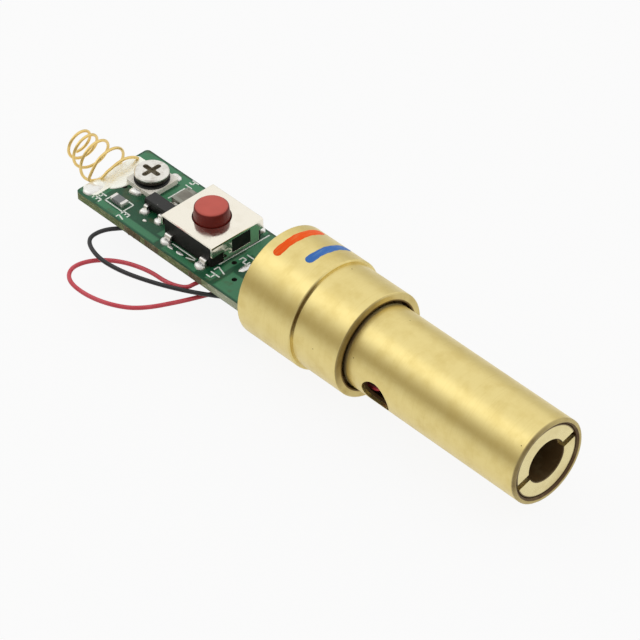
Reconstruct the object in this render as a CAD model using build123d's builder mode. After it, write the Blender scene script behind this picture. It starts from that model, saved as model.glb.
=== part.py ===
from build123d import *

import os
from math import cos, hypot, radians, sin, tan

# Laser diode module. +X is the beam, +Z is up through the push button, and the origin lies on the optical
# axis in the plane of the collar's front face. All sizes are in millimetres.

# Flats round a drawn wire's section
wire_side_count = 6

# Brass sleeve
nose_diameter = 8.0
nose_length = 19.7
nose_wall = 0.6
spigot_step = 0.25
spigot_length = 6.0
shoulder_diameter = 10.0
shoulder_length = 5.3
collar_diameter = 10.6
collar_length = 6.5
mouth_clearance = 0.25
mouth_depth = 1.2
edge_break = 0.12
press_clearance = 0.02
side_hole_diameter = 3.1
side_hole_position = 3.55
side_hole_angle = 196.0

# Focusing nozzle, lens and spring
thread_wall = 0.5
thread_depth = 9.2
thread_clearance = 0.05
thread_lead_in = 0.2
nozzle_length = 6.1
nozzle_recess = 0.2
aperture_diameter = 4.0
aperture_length = 3.7
spanner_slot_width = 0.7
spanner_slot_depth = 0.7
spanner_slot_angle = 16.0
nozzle_wall = 0.5
lens_edge = 1.2
lens_crown = 0.7
lens_clearance = 0.05
focus_wire = 0.3
focus_coil_inset = 0.05
focus_turns = 3.0
focus_end_gap = 0.02

# Laser diode in its brass holder
holder_rear_lip = 0.3
holder_length = 3.6
holder_wall = 0.56
holder_seat = 0.4
diode_flange_thickness = 1.2
diode_pocket_clearance = 0.02
cap_height = 2.3
cap_wall = 0.2
cap_lip_width = 0.4
cap_lip_clearance = 0.1
window_clearance = 0.4
window_seat = 0.5
window_thickness = 0.25
lead_diameter = 0.45
lead_margin = 0.475
lead_end = 4.6
lead_length = 1.7
lead_inner_length = 0.5
lead_clearance = 0.01
pedestal_length = 1.2
pedestal_width = 1.2
pedestal_height = 0.8
chip_length = 0.4
chip_width = 0.3
chip_height = 0.12

# Driver board
board_width = 8.5
board_thickness = 0.8
board_top = -0.85
board_overhang = 22.3
board_insert = 4.6
board_corner = 0.4
board_clearance = 0.03
via_diameter = 0.5
via_places = ((2.6, -0.75), (17.05, -0.8), (18.7, -2.3))

# Battery spring and its solder
spring_wire = 0.28
spring_base_diameter = 4.6
spring_tip_diameter = 2.5
spring_length = 4.83
spring_turns = 3.68
spring_behind = 0.32
spring_start_angle = -150.0
spring_closing = 0.63
spring_narrowing = 0.69
spring_lean_up = 6.2
spring_lean_far = 4.0
spring_point_count = 60
spring_tail = (
    (0.62, 2.55, 0.17),
    (0.57, 2.32, 0.42),
    (0.55, 1.7, 0.75),
    (0.55, 1.0, 0.94),
    (0.55, 0.25, 0.91),
    (0.55, -0.42, 0.75),
    (0.55, -1.0, 0.6),
    (0.55, -1.4, 0.37),
    (0.5, -1.7, 0.2),
    (0.25, -2.2, 0.17),
    (-0.15, -2.55, 0.24),
)
solder_thickness = 0.15
solder_inset = 0.1
solder_depth = 1.8
solder_near_end = -3.7
solder_far_end = 2.9
solder_corner = 0.5
mound_diameter = 1.5
mound_height = 0.42
mound_from_rear = 0.8
mound_across = -2.3

# Trimmer
trimmer_from_rear = 3.9
trimmer_across = 1.35
trimmer_length = 3.4
trimmer_width = 3.3
trimmer_plate = 0.5
trimmer_corner = 0.25
trimmer_boss_diameter = 0.9
trimmer_boss_height = 0.95
track_outer_diameter = 3.24
track_inner_diameter = 1.3
track_thickness = 0.2
rotor_diameter = 3.16
rotor_hub_diameter = 2.3
rotor_bottom = 0.78
rotor_shelf = 0.95
rotor_top = 1.45
rotor_edge = 0.12
rotor_clearance = 0.05
cross_length = 2.1
cross_width = 0.5
cross_depth = 0.3
trimmer_tag_width = 0.7
trimmer_tag_thickness = 0.14
trimmer_tag_foot = 0.55
trimmer_tag_height = 0.4
trimmer_tag_spacing = 2.0

# Driver chip
chip_case_length = 2.9
chip_case_width = 1.3
chip_case_height = 1.0
chip_case_standoff = 0.1
chip_case_draft = 7.0
chip_case_from_rear = 7.45
chip_case_across = -0.75
chip_lead_width = 0.42
chip_lead_thickness = 0.13
chip_lead_pitch = 1.9
chip_lead_shank = 0.3
chip_lead_foot = 0.4

# Chip resistor along the board and chip capacitor across it
resistor_length = 1.6
resistor_width = 0.8
resistor_height = 0.45
resistor_cap = 0.3
resistor_from_rear = 3.95
resistor_across = -2.55
capacitor_length = 2.0
capacitor_width = 1.25
capacitor_height = 0.65
capacitor_cap = 0.4
capacitor_from_rear = 7.8
capacitor_across = 1.75

# Push switch
switch_from_rear = 13.1
switch_across = 0.25
cover_length = 6.6
cover_width = 6.0
cover_top = 2.3
cover_sheet = 0.2
cover_bend = 0.22
skirt_drop = 1.1
tab_width = 4.1
tab_bottom = 0.15
tab_across = 0.4
window_width = 2.15
window_low = 0.5
window_high = 1.95
hook_clearance = 0.04
base_width = 5.9
base_corner = 0.3
well_diameter = 4.5
well_floor = 0.55
button_diameter = 3.3
button_top_diameter = 3.05
button_rise = 1.2
button_edge = 0.15
button_clearance = 0.1
button_flange_diameter = 4.2
button_flange_thickness = 0.28
button_float = 0.05
button_stem_diameter = 1.6
dome_diameter = 4.0
dome_crown_diameter = 1.8
dome_rise = 0.5
dome_sheet = 0.08
dome_gap = 0.03
dome_seat_gap = 0.02
terminal_pitch = 4.5
terminal_width = 0.75
terminal_thickness = 0.2
terminal_height = 0.55
terminal_shank = 0.25
terminal_foot = 0.55

# Worked out from the sizes above
spigot_diameter = nose_diameter - 2 * spigot_step
nose_bore = nose_diameter - 2 * nose_wall
thread_diameter = nose_diameter - 2 * thread_wall
lens_diameter = thread_diameter - 2 * (thread_clearance + nozzle_wall + lens_clearance)
focus_coil_diameter = lens_diameter - focus_wire - 2 * focus_coil_inset
diode_flange_diameter = nose_bore - 2 * (press_clearance + holder_wall + diode_pocket_clearance)
holder_bore = diode_flange_diameter - 2 * holder_seat
cap_lip_diameter = holder_bore - 2 * cap_lip_clearance
cap_diameter = cap_lip_diameter - 2 * cap_lip_width
window_diameter = cap_diameter - 2 * (cap_wall + window_clearance)
cap_port_diameter = window_diameter - 2 * window_seat
lead_circle = cap_diameter - 2 * (cap_wall + lead_margin) - lead_diameter
collar_rear = -(shoulder_length + collar_length)
board_rear = collar_rear - board_overhang
board_front = collar_rear + board_insert
board_bottom = board_top - board_thickness
board_pocket_radius = hypot(board_width / 2, board_bottom) + board_clearance
thread_start = nose_length - thread_depth
nozzle_front = nose_length - nozzle_recess
nozzle_rear = nozzle_front - nozzle_length
lens_seat = nozzle_front - aperture_length
lens_rear = lens_seat - lens_edge
diode_rear = lead_end + lead_length
diode_seat = diode_rear + diode_flange_thickness
holder_rear = diode_rear - holder_rear_lip
holder_front = holder_rear + holder_length
cap_front = diode_seat + cap_height
plate_under = cover_top - cover_sheet

# Loose wires, as points of their routes from the board's underside to the diode's leads
wire_diameter = 0.4
wire_solder_diameter = 0.84
wire_solder_length = 1.0
bend_share = 0.45
red_route = [
    (-18.0, -2.5, -1.95),
    (-17.9, -3.9, -2.1),
    (-18.7, -5.1, -2.4),
    (-20.6, -5.5, -2.7),
    (-22.9, -5.6, -2.9),
    (-25.2, -6.2, -3.0),
    (-27.1, -7.6, -3.05),
    (-28.0, -9.5, -3.1),
    (-27.2, -11.2, -3.1),
    (-24.9, -11.6, -3.1),
    (-22.2, -10.6, -3.05),
    (-20.1, -8.8, -3.0),
    (-18.6, -6.5, -3.0),
    (-17.0, -4.3, -3.05),
    (-15.0, -2.5, -3.15),
    (-12.3, -1.6, -3.25),
    (-9.5, -1.7, -3.0),
    (-6.8, -1.9, -2.3),
    (-4.1, -2.0, -1.6),
    (-1.5, -2.2, -1.1),
    (0.8, -2.1, -0.75),
    (2.1, -1.5, -0.35),
    (3.35, -lead_circle / 2, 0.0),
    (lead_end, -lead_circle / 2, 0.0),
]
black_route = [
    (-27.2, -2.6, -1.95),
    (-28.4, -3.6, -2.0),
    (-29.5, -5.3, -2.1),
    (-29.2, -7.0, -2.2),
    (-27.3, -7.8, -2.3),
    (-24.6, -7.7, -2.35),
    (-21.5, -6.9, -2.3),
    (-18.8, -5.8, -2.3),
    (-16.6, -4.3, -2.3),
    (-14.6, -2.7, -2.4),
    (-12.0, -1.5, -2.5),
    (-9.2, -0.8, -2.45),
    (-6.4, -0.3, -2.1),
    (-3.8, 0.1, -1.5),
    (-1.2, 0.6, -0.8),
    (1.2, 1.0, -0.25),
    (3.0, lead_circle / 2, 0.0),
    (lead_end, lead_circle / 2, 0.0),
]

AT_FOOT = (Align.CENTER, Align.CENTER, Align.MIN)
Y_SIDES = ((1, "far"), (-1, "near"))

os.makedirs("parts", exist_ok=True)


def write(piece, name):
    """Labels a finished piece and writes its file."""
    piece.part.label = name
    export_step(piece.part, f"parts/{name}.step")


def on_board(from_rear, across, height=0.0):
    """A level plane on the board's top, placed from its rear edge and its centre line."""
    return Plane((board_rear + from_rear, across, board_top + height))


def bent_strip(origin, outward, drop, shank, foot, thickness, width):
    """A bent lead: out of a body's side, down to the board and out along it, towards +Y or -Y."""
    section = Plane(origin=origin, x_dir=(0, outward, 0), z_dir=(outward, 0, 0))
    middle = thickness / 2
    bends = ((0, drop), (shank, drop), (shank, middle), (shank + foot, middle))
    with BuildPart() as strip:
        with BuildSketch(section):
            with BuildLine():
                FilletPolyline(*bends, radius=thickness)
            trace(line_width=thickness)
        extrude(amount=width / 2, both=True)
    return strip


def chip_pieces(place, length, width, height, cap):
    """A chip part's ceramic body and its two end caps, along the plane's x direction."""
    with BuildPart(place) as body:
        Box(length - 2 * cap, width, height, align=AT_FOOT)
    ends = []
    for side in (-1, 1):
        with BuildPart(place) as end:
            with Locations((side * (length - cap) / 2, 0, 0)):
                Box(cap, width, height, align=AT_FOOT)
        ends.append(end)
    return body, ends


def bend_radii(route):
    """The radius of each arc of a route: as large as the shorter of its two runs allows."""
    radii = []
    for before, corner, after in zip(route, route[1:], route[2:]):
        arriving = Vector(corner) - Vector(before)
        leaving = Vector(after) - Vector(corner)
        half_turn = radians(arriving.get_angle(leaving)) / 2
        radii.append(bend_share * min(arriving.length, leaving.length) / tan(half_turn))
    return radii


# Collar: one turned sleeve with two bands, a wide mouth round the nose and a pocket for the board
with BuildPart() as collar:
    with BuildSketch(Plane.XY):
        with BuildLine():
            Polyline(
                (collar_rear, board_pocket_radius),
                (collar_rear, collar_diameter / 2),
                (-shoulder_length, collar_diameter / 2),
                (-shoulder_length, shoulder_diameter / 2),
                (0, shoulder_diameter / 2),
                (0, nose_diameter / 2 + mouth_clearance),
                (-mouth_depth, nose_diameter / 2 + mouth_clearance),
                (-mouth_depth, spigot_diameter / 2 + press_clearance),
                (-spigot_length, spigot_diameter / 2 + press_clearance),
                (-spigot_length, board_pocket_radius),
                close=True,
            )
        make_face()
    revolve(axis=Axis.X)
    rims = collar.edges().filter_by(GeomType.CIRCLE).sort_by(SortBy.RADIUS)
    front_rim = rims[-4:-2].sort_by(Axis.X)[-1:]
    chamfer(rims[-2:] + front_rim, edge_break)
write(collar, "collar")

# Barrel: nose tube with a spigot in the collar, a bore for the holder and a wider one for the nozzle
with BuildPart() as barrel:
    with BuildSketch(Plane.XY):
        with BuildLine():
            Polyline(
                (-spigot_length, nose_bore / 2),
                (-spigot_length, spigot_diameter / 2),
                (0, spigot_diameter / 2),
                (0, nose_diameter / 2),
                (nose_length, nose_diameter / 2),
                (nose_length, thread_diameter / 2),
                (thread_start, thread_diameter / 2),
                (thread_start, nose_bore / 2),
                close=True,
            )
        make_face()
    revolve(axis=Axis.X)
    tip_rims = barrel.edges().filter_by(GeomType.CIRCLE).group_by(Axis.X)[-1].sort_by(SortBy.RADIUS)
    chamfer(tip_rims[-1:], edge_break)
    chamfer(tip_rims[:1], thread_lead_in)
    hole_direction = (0, cos(radians(side_hole_angle)), sin(radians(side_hole_angle)))
    with BuildSketch(Plane(origin=(side_hole_position, 0, 0), z_dir=hole_direction)):
        Circle(side_hole_diameter / 2)
    extrude(amount=nose_diameter, mode=Mode.SUBTRACT)
write(barrel, "barrel")

# Lens nozzle: ring with the aperture in front, the lens pocket behind and two spanner slots across its face
with BuildPart() as lens_nozzle:
    with BuildSketch(Plane.XY):
        with BuildLine():
            Polyline(
                (nozzle_rear, lens_diameter / 2 + lens_clearance),
                (nozzle_rear, thread_diameter / 2 - thread_clearance),
                (nozzle_front, thread_diameter / 2 - thread_clearance),
                (nozzle_front, aperture_diameter / 2),
                (lens_seat, aperture_diameter / 2),
                (lens_seat, lens_diameter / 2 + lens_clearance),
                close=True,
            )
        make_face()
    revolve(axis=Axis.X)
    face_rims = lens_nozzle.edges().filter_by(GeomType.CIRCLE).group_by(Axis.X)[-1]
    chamfer(face_rims, edge_break / 2)
    slot_turn = radians(spanner_slot_angle)
    slot_direction = (0, cos(slot_turn), sin(slot_turn))
    with BuildSketch(Plane(origin=(nozzle_front, 0, 0), x_dir=slot_direction, z_dir=(1, 0, 0))):
        Rectangle(nose_diameter, spanner_slot_width)
    extrude(amount=-spanner_slot_depth, mode=Mode.SUBTRACT)
write(lens_nozzle, "lens_nozzle")

# Collimating lens: flat flange against the nozzle's seat, with a crown that stands into the aperture
with BuildPart() as collimating_lens:
    crown_radius = aperture_diameter / 2 - lens_clearance
    with BuildSketch(Plane.XY):
        with BuildLine():
            Polyline(
                (lens_seat + lens_crown, 0),
                (lens_rear, 0),
                (lens_rear, lens_diameter / 2),
                (lens_seat, lens_diameter / 2),
                (lens_seat, crown_radius),
            )
            RadiusArc(
                (lens_seat, crown_radius),
                (lens_seat + lens_crown, 0),
                (crown_radius**2 + lens_crown**2) / (2 * lens_crown),
            )
        make_face()
    revolve(axis=Axis.X)
write(collimating_lens, "collimating_lens")

# Focus spring between the holder's front face and the lens
with BuildPart() as focus_spring:
    focus_start = holder_front + focus_wire / 2 + focus_end_gap
    focus_height = lens_rear - holder_front - focus_wire - 2 * focus_end_gap
    with BuildLine() as focus_path:
        Helix(
            focus_height / focus_turns,
            focus_height,
            focus_coil_diameter / 2,
            center=(focus_start, 0, 0),
            direction=(1, 0, 0),
        )
    with BuildSketch(Plane(origin=focus_path.line @ 0, z_dir=focus_path.line % 0)):
        RegularPolygon(focus_wire / 2, wire_side_count)
    sweep(is_frenet=True)
write(focus_spring, "focus_spring")

# Diode holder: brass ring pressed into the barrel, with the diode's flange in its rear pocket
with BuildPart() as diode_holder:
    with BuildSketch(Plane.XY):
        with BuildLine():
            Polyline(
                (holder_rear, diode_flange_diameter / 2 + diode_pocket_clearance),
                (holder_rear, nose_bore / 2 - press_clearance),
                (holder_front, nose_bore / 2 - press_clearance),
                (holder_front, holder_bore / 2),
                (diode_seat, holder_bore / 2),
                (diode_seat, diode_flange_diameter / 2 + diode_pocket_clearance),
                close=True,
            )
        make_face()
    revolve(axis=Axis.X)
write(diode_holder, "diode_holder")

# Diode stem: flange with two lead holes and the pedestal that carries the laser chip
with BuildPart() as diode_stem:
    with BuildSketch(Plane.YZ.offset(diode_rear)):
        Circle(diode_flange_diameter / 2)
        with Locations((lead_circle / 2, 0), (-lead_circle / 2, 0)):
            Circle(lead_diameter / 2 + lead_clearance, mode=Mode.SUBTRACT)
    extrude(amount=diode_flange_thickness)
    with Locations((diode_seat, 0, -chip_height / 2)):
        Box(
            pedestal_length,
            pedestal_width,
            pedestal_height,
            align=(Align.MIN, Align.CENTER, Align.MAX),
        )
write(diode_stem, "diode_stem")

# Laser chip on the pedestal's front end, with its stripe on the optical axis
with BuildPart() as laser_chip:
    with Locations((diode_seat + pedestal_length, 0, 0)):
        Box(chip_length, chip_width, chip_height, align=(Align.MAX, Align.CENTER, Align.CENTER))
write(laser_chip, "laser_chip")

# Diode cap: drawn can with a welding lip and a round port
with BuildPart() as diode_cap:
    with BuildSketch(Plane.XY):
        with BuildLine():
            Polyline(
                (diode_seat, cap_diameter / 2 - cap_wall),
                (diode_seat, cap_lip_diameter / 2),
                (diode_seat + cap_wall, cap_lip_diameter / 2),
                (diode_seat + cap_wall, cap_diameter / 2),
                (cap_front, cap_diameter / 2),
                (cap_front, cap_port_diameter / 2),
                (cap_front - cap_wall, cap_port_diameter / 2),
                (cap_front - cap_wall, cap_diameter / 2 - cap_wall),
                close=True,
            )
        make_face()
    revolve(axis=Axis.X)
write(diode_cap, "diode_cap")

# Window behind the cap's port
with BuildPart() as diode_window:
    with BuildSketch(Plane.YZ.offset(cap_front - cap_wall)):
        Circle(window_diameter / 2)
    extrude(amount=-window_thickness)
write(diode_window, "diode_window")

# Leads: two through the flange, and the case lead welded to its rear face
through_length = lead_length + diode_flange_thickness + lead_inner_length
lead_places = {
    "diode_lead_positive": ((-lead_circle / 2, 0), through_length),
    "diode_lead_negative": ((lead_circle / 2, 0), through_length),
    "diode_lead_case": ((0, -lead_circle / 2), lead_length),
}
for lead_name, (lead_place, length) in lead_places.items():
    with BuildPart() as diode_lead:
        with BuildSketch(Plane.YZ.offset(lead_end)):
            with Locations(lead_place):
                Circle(lead_diameter / 2)
        extrude(amount=length)
    write(diode_lead, lead_name)

# Circuit board with rounded rear corners and plated holes
with BuildPart() as circuit_board:
    with BuildSketch(Plane.XY.offset(board_bottom)):
        with Locations(((board_rear + board_front) / 2, 0)):
            Rectangle(board_front - board_rear, board_width)
    extrude(amount=board_thickness)
    fillet(circuit_board.edges().filter_by(Axis.Z).group_by(Axis.X)[0], board_corner)
    with Locations(*[(board_rear + along, across, board_top) for along, across in via_places]):
        Hole(via_diameter / 2, board_thickness)
write(circuit_board, "circuit_board")

# Battery spring in short straight runs: a tail arched over the board's end, then a leaning cone of turns
# that close up at the tip
lean_up = radians(spring_lean_up)
lean_far = radians(spring_lean_far)
spring_seat = Plane(
    origin=(board_rear - spring_behind, 0, (board_top + board_bottom) / 2),
    x_dir=(sin(lean_far) * cos(lean_up), cos(lean_far), -sin(lean_far) * sin(lean_up)),
    z_dir=(-cos(lean_up) * cos(lean_far), sin(lean_far), sin(lean_up) * cos(lean_far)),
)
spring_points = [on_board(*place).origin for place in spring_tail]
for point_number in range(1, spring_point_count + 1):
    share = point_number / spring_point_count
    spare = share * (1 - share)
    turn_angle = radians(spring_start_angle + 360 * spring_turns * share)
    turn_diameter = spring_base_diameter + (spring_tip_diameter - spring_base_diameter) * (
        share + spring_narrowing * spare
    )
    spring_points.append(
        spring_seat.from_local_coords(
            Vector(
                turn_diameter / 2 * cos(turn_angle),
                turn_diameter / 2 * sin(turn_angle),
                spring_length * (share + spring_closing * spare),
            )
        )
    )
with BuildPart() as battery_spring:
    with BuildLine() as spring_path:
        Polyline(*spring_points)
    with BuildSketch(Plane(origin=spring_path.line @ 0, z_dir=spring_path.line % 0)):
        RegularPolygon(spring_wire / 2, wire_side_count)
    sweep(transition=Transition.RIGHT)
write(battery_spring, "battery_spring")

# Spring solder: tinned pad along the board's rear edge, with a mound over the spring's near corner
with BuildPart() as spring_solder:
    pad_middle = board_rear + solder_inset + solder_depth / 2
    with BuildSketch(Plane.XY.offset(board_top)):
        with Locations((pad_middle, (solder_near_end + solder_far_end) / 2)):
            RectangleRounded(solder_depth, solder_far_end - solder_near_end, solder_corner)
    extrude(amount=solder_thickness)
    mound_round = (mound_diameter**2 / 4 + mound_height**2) / (2 * mound_height)
    mound = on_board(mound_from_rear, mound_across).origin
    with BuildSketch(Plane(mound, x_dir=(1, 0, 0), z_dir=(0, -1, 0))):
        with BuildLine():
            Polyline((0, mound_height), (0, 0), (mound_diameter / 2, 0))
            RadiusArc((mound_diameter / 2, 0), (0, mound_height), -mound_round)
        make_face()
    revolve(axis=Axis(mound, (0, 0, 1)))
write(spring_solder, "spring_solder")

# Trimmer base with its pivot boss
trimmer_place = on_board(trimmer_from_rear, trimmer_across)
with BuildPart(trimmer_place) as trimmer_base:
    Box(trimmer_length, trimmer_width, trimmer_plate, align=AT_FOOT)
    fillet(trimmer_base.edges().filter_by(Axis.Z), trimmer_corner)
    Cylinder(trimmer_boss_diameter / 2, trimmer_boss_height, align=AT_FOOT)
write(trimmer_base, "trimmer_base")

# Carbon track on the base
with BuildPart() as trimmer_track:
    with BuildSketch(on_board(trimmer_from_rear, trimmer_across, trimmer_plate)):
        Circle(track_outer_diameter / 2)
        Circle(track_inner_diameter / 2, mode=Mode.SUBTRACT)
    extrude(amount=track_thickness)
write(trimmer_track, "trimmer_track")

# Rotor: steel dial on a hub that turns on the boss, with a cross recess
with BuildPart() as trimmer_rotor:
    with BuildSketch(on_board(trimmer_from_rear, trimmer_across, rotor_shelf)):
        Circle(rotor_diameter / 2)
    extrude(amount=rotor_top - rotor_shelf)
    chamfer(trimmer_rotor.edges().group_by(Axis.Z)[-1], rotor_edge)
    with BuildSketch(on_board(trimmer_from_rear, trimmer_across, rotor_bottom)):
        Circle(rotor_hub_diameter / 2)
    extrude(amount=rotor_shelf - rotor_bottom)
    with BuildSketch(on_board(trimmer_from_rear, trimmer_across, rotor_bottom)):
        Circle(trimmer_boss_diameter / 2 + rotor_clearance)
    extrude(amount=trimmer_boss_height + rotor_clearance - rotor_bottom, mode=Mode.SUBTRACT)
    with BuildSketch(on_board(trimmer_from_rear, trimmer_across, rotor_top)):
        SlotOverall(cross_length, cross_width)
        SlotOverall(cross_length, cross_width, rotation=90)
    extrude(amount=-cross_depth, mode=Mode.SUBTRACT)
write(trimmer_rotor, "trimmer_rotor")

# Trimmer terminals: two on the far side for the track's ends, one on the near side for the wiper
trimmer_tags = {
    "trimmer_terminal_start": (-trimmer_tag_spacing / 2, 1),
    "trimmer_terminal_end": (trimmer_tag_spacing / 2, 1),
    "trimmer_terminal_wiper": (0, -1),
}
for tag_name, (tag_along, tag_side) in trimmer_tags.items():
    tag_root = on_board(trimmer_from_rear + tag_along, trimmer_across + tag_side * trimmer_width / 2).origin
    with BuildPart() as trimmer_terminal:
        with BuildSketch(Plane(origin=tag_root, x_dir=(0, tag_side, 0), z_dir=(tag_side, 0, 0))):
            Rectangle(trimmer_tag_thickness, trimmer_tag_height, align=(Align.MIN, Align.MIN))
            Rectangle(trimmer_tag_foot, trimmer_tag_thickness, align=(Align.MIN, Align.MIN))
        extrude(amount=trimmer_tag_width / 2, both=True)
    write(trimmer_terminal, tag_name)

# Driver chip: moulded case, drafted above and below its parting line
parting_height = chip_case_standoff + chip_case_height / 2
with BuildPart() as driver_chip:
    with BuildSketch(on_board(chip_case_from_rear, chip_case_across, parting_height)) as parting:
        Rectangle(chip_case_length, chip_case_width)
    extrude(amount=chip_case_height / 2, taper=chip_case_draft)
    extrude(parting.sketch, amount=-chip_case_height / 2, taper=chip_case_draft)
write(driver_chip, "driver_chip")

chip_leads = {
    "driver_chip_lead_1": (-chip_lead_pitch / 2, -1),
    "driver_chip_lead_2": (chip_lead_pitch / 2, -1),
    "driver_chip_lead_3": (0, 1),
}
for lead_name, (lead_along, lead_side) in chip_leads.items():
    lead_across = chip_case_across + lead_side * chip_case_width / 2
    chip_lead = bent_strip(
        on_board(chip_case_from_rear + lead_along, lead_across).origin,
        lead_side,
        parting_height,
        chip_lead_shank,
        chip_lead_foot,
        chip_lead_thickness,
        chip_lead_width,
    )
    write(chip_lead, lead_name)

# Chip resistor
resistor_place = on_board(resistor_from_rear, resistor_across)
chip_resistor, resistor_ends = chip_pieces(
    resistor_place, resistor_length, resistor_width, resistor_height, resistor_cap
)
write(chip_resistor, "chip_resistor")
for end, name in zip(resistor_ends, ("rear", "front")):
    write(end, f"chip_resistor_cap_{name}")

# Chip capacitor, turned across the board
capacitor_place = on_board(capacitor_from_rear, capacitor_across).rotated((0, 0, 90))
chip_capacitor, capacitor_ends = chip_pieces(
    capacitor_place, capacitor_length, capacitor_width, capacitor_height, capacitor_cap
)
write(chip_capacitor, "chip_capacitor")
for end, name in zip(capacitor_ends, ("near", "far")):
    write(end, f"chip_capacitor_cap_{name}")

# Switch base: black block with a round well for the dome, and hooks that fill the cover's windows
switch_place = on_board(switch_from_rear, switch_across)
base_length = cover_length - 2 * cover_sheet
with BuildPart(switch_place) as switch_base:
    Box(base_length, base_width, plate_under, align=AT_FOOT)
    fillet(switch_base.edges().filter_by(Axis.Z), base_corner)
    hook_middle = (window_low + window_high) / 2
    for side in (-1, 1):
        with Locations((side * base_length / 2, tab_across, hook_middle)):
            Box(
                2 * (cover_sheet - hook_clearance),
                window_width - 2 * hook_clearance,
                window_high - window_low - 2 * hook_clearance,
            )
    with Locations((0, 0, well_floor)):
        Cylinder(well_diameter / 2, cover_top, align=AT_FOOT, mode=Mode.SUBTRACT)
write(switch_base, "switch_base")

# Switch cover: folded sheet with a skirt and a windowed clip tab at each end, and the button's hole
switch_section = Plane(origin=switch_place.origin, x_dir=(1, 0, 0), z_dir=(0, -1, 0))
with BuildPart() as switch_cover:
    with BuildSketch(switch_section):
        with BuildLine():
            FilletPolyline(
                (-cover_length / 2, tab_bottom),
                (-cover_length / 2, cover_top),
                (cover_length / 2, cover_top),
                (cover_length / 2, tab_bottom),
                radius=cover_bend,
            )
            Polyline(
                (cover_length / 2, tab_bottom),
                (base_length / 2, tab_bottom),
                (base_length / 2, plate_under),
                (-base_length / 2, plate_under),
                (-base_length / 2, tab_bottom),
                (-cover_length / 2, tab_bottom),
            )
        make_face()
    extrude(amount=cover_width / 2, both=True)
    end_view = Plane(origin=switch_place.origin, x_dir=(0, 1, 0), z_dir=(1, 0, 0))
    skirt_low = cover_top - skirt_drop
    with BuildSketch(end_view):
        with Locations((0, skirt_low)):
            Rectangle(2 * cover_width, skirt_low, align=(Align.CENTER, Align.MAX))
        with Locations((tab_across, 0)):
            Rectangle(tab_width, skirt_low, align=(Align.CENTER, Align.MIN), mode=Mode.SUBTRACT)
        with Locations((tab_across, window_low)):
            Rectangle(window_width, window_high - window_low, align=(Align.CENTER, Align.MIN))
    extrude(amount=cover_length, both=True, mode=Mode.SUBTRACT)
    with BuildSketch(switch_place):
        Circle(button_diameter / 2 + button_clearance)
    extrude(amount=2 * cover_top, mode=Mode.SUBTRACT)
write(switch_cover, "switch_cover")

# Snap dome in the well: a shallow cone with a flat crown under the button's stem
dome_foot = well_floor + dome_seat_gap
dome_crest = dome_foot + dome_sheet + dome_rise
with BuildPart() as switch_dome:
    with BuildSketch(switch_section):
        with BuildLine():
            Polyline(
                (dome_diameter / 2, dome_foot),
                (dome_crown_diameter / 2, dome_foot + dome_rise),
                (0, dome_foot + dome_rise),
                (0, dome_crest),
                (dome_crown_diameter / 2, dome_crest),
                (dome_diameter / 2, dome_foot + dome_sheet),
                close=True,
            )
        make_face()
    revolve(axis=Axis(switch_place.origin, (0, 0, 1)))
write(switch_dome, "switch_dome")

# Button: tapered cap above the cover, a flange that the cover keeps in, and a stem over the dome
button_flange_top = plate_under - button_float
button_top = cover_top + button_rise
with BuildPart() as switch_button:
    with BuildSketch(switch_section):
        with BuildLine():
            Polyline(
                (0, dome_crest + dome_gap),
                (button_stem_diameter / 2, dome_crest + dome_gap),
                (button_stem_diameter / 2, button_flange_top - button_flange_thickness),
                (button_flange_diameter / 2, button_flange_top - button_flange_thickness),
                (button_flange_diameter / 2, button_flange_top),
                (button_diameter / 2, button_flange_top),
                (button_diameter / 2, cover_top),
                (button_top_diameter / 2, button_top),
                (0, button_top),
                close=True,
            )
        make_face()
    revolve(axis=Axis(switch_place.origin, (0, 0, 1)))
    chamfer(switch_button.edges().group_by(Axis.Z)[-1], button_edge)
write(switch_button, "switch_button")

# Switch terminals: bent strips from the base's two long sides
for side, side_name in Y_SIDES:
    for along, end_name in ((-terminal_pitch / 2, "rear"), (terminal_pitch / 2, "front")):
        terminal_root = on_board(switch_from_rear + along, switch_across + side * base_width / 2).origin
        switch_terminal = bent_strip(
            terminal_root,
            side,
            terminal_height,
            terminal_shank,
            terminal_foot,
            terminal_thickness,
            terminal_width,
        )
        write(switch_terminal, f"switch_terminal_{side_name}_{end_name}")

# Wires and their solder joints under the board
for wire_name, route in (("red", red_route), ("black", black_route)):
    start, second = Vector(route[0]), Vector(route[1])
    radii = bend_radii(route)
    with BuildPart() as wire:
        with BuildLine() as wire_path:
            FilletPolyline(*route, radius=radii)
        with BuildSketch(Plane(origin=start, z_dir=second - start)) as wire_section:
            RegularPolygon(wire_diameter / 2, wire_side_count)
        sweep()
    write(wire, f"{wire_name}_wire")
    wire_length = wire_path.wire().length
    print(wire_name, "wire length", round(wire_length, 2), "radii", [round(r, 2) for r in radii])
    expected = wire_section.sketch.area * wire_length
    print(wire_name, "wire volume", round(wire.part.volume, 4), "section times length", round(expected, 4))
    with BuildPart() as wire_solder:
        with BuildSketch(Plane(origin=start, z_dir=start - second)):
            Circle(wire_solder_diameter / 2)
        extrude(amount=wire_solder_length)
        split(bisect_by=Plane.XY.offset(board_bottom), keep=Keep.BOTTOM)
    write(wire_solder, f"{wire_name}_solder")
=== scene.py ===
"""Dresses the laser diode module.

Finishes go on the turned brass, the circuit board and the small parts. Solder, silk-screen lines and paint lie on
them, two loose wires run from the board into the brass, and a plain studio holds the camera and the light.
Sizes and places are in millimetres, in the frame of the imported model.
"""
import logging
from dataclasses import dataclass, field
from enum import Enum
from functools import reduce
from typing import Any, Mapping, Optional, Sequence, Union

import bmesh
import bpy
import numpy as np
from mathutils import Matrix, Vector


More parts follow.
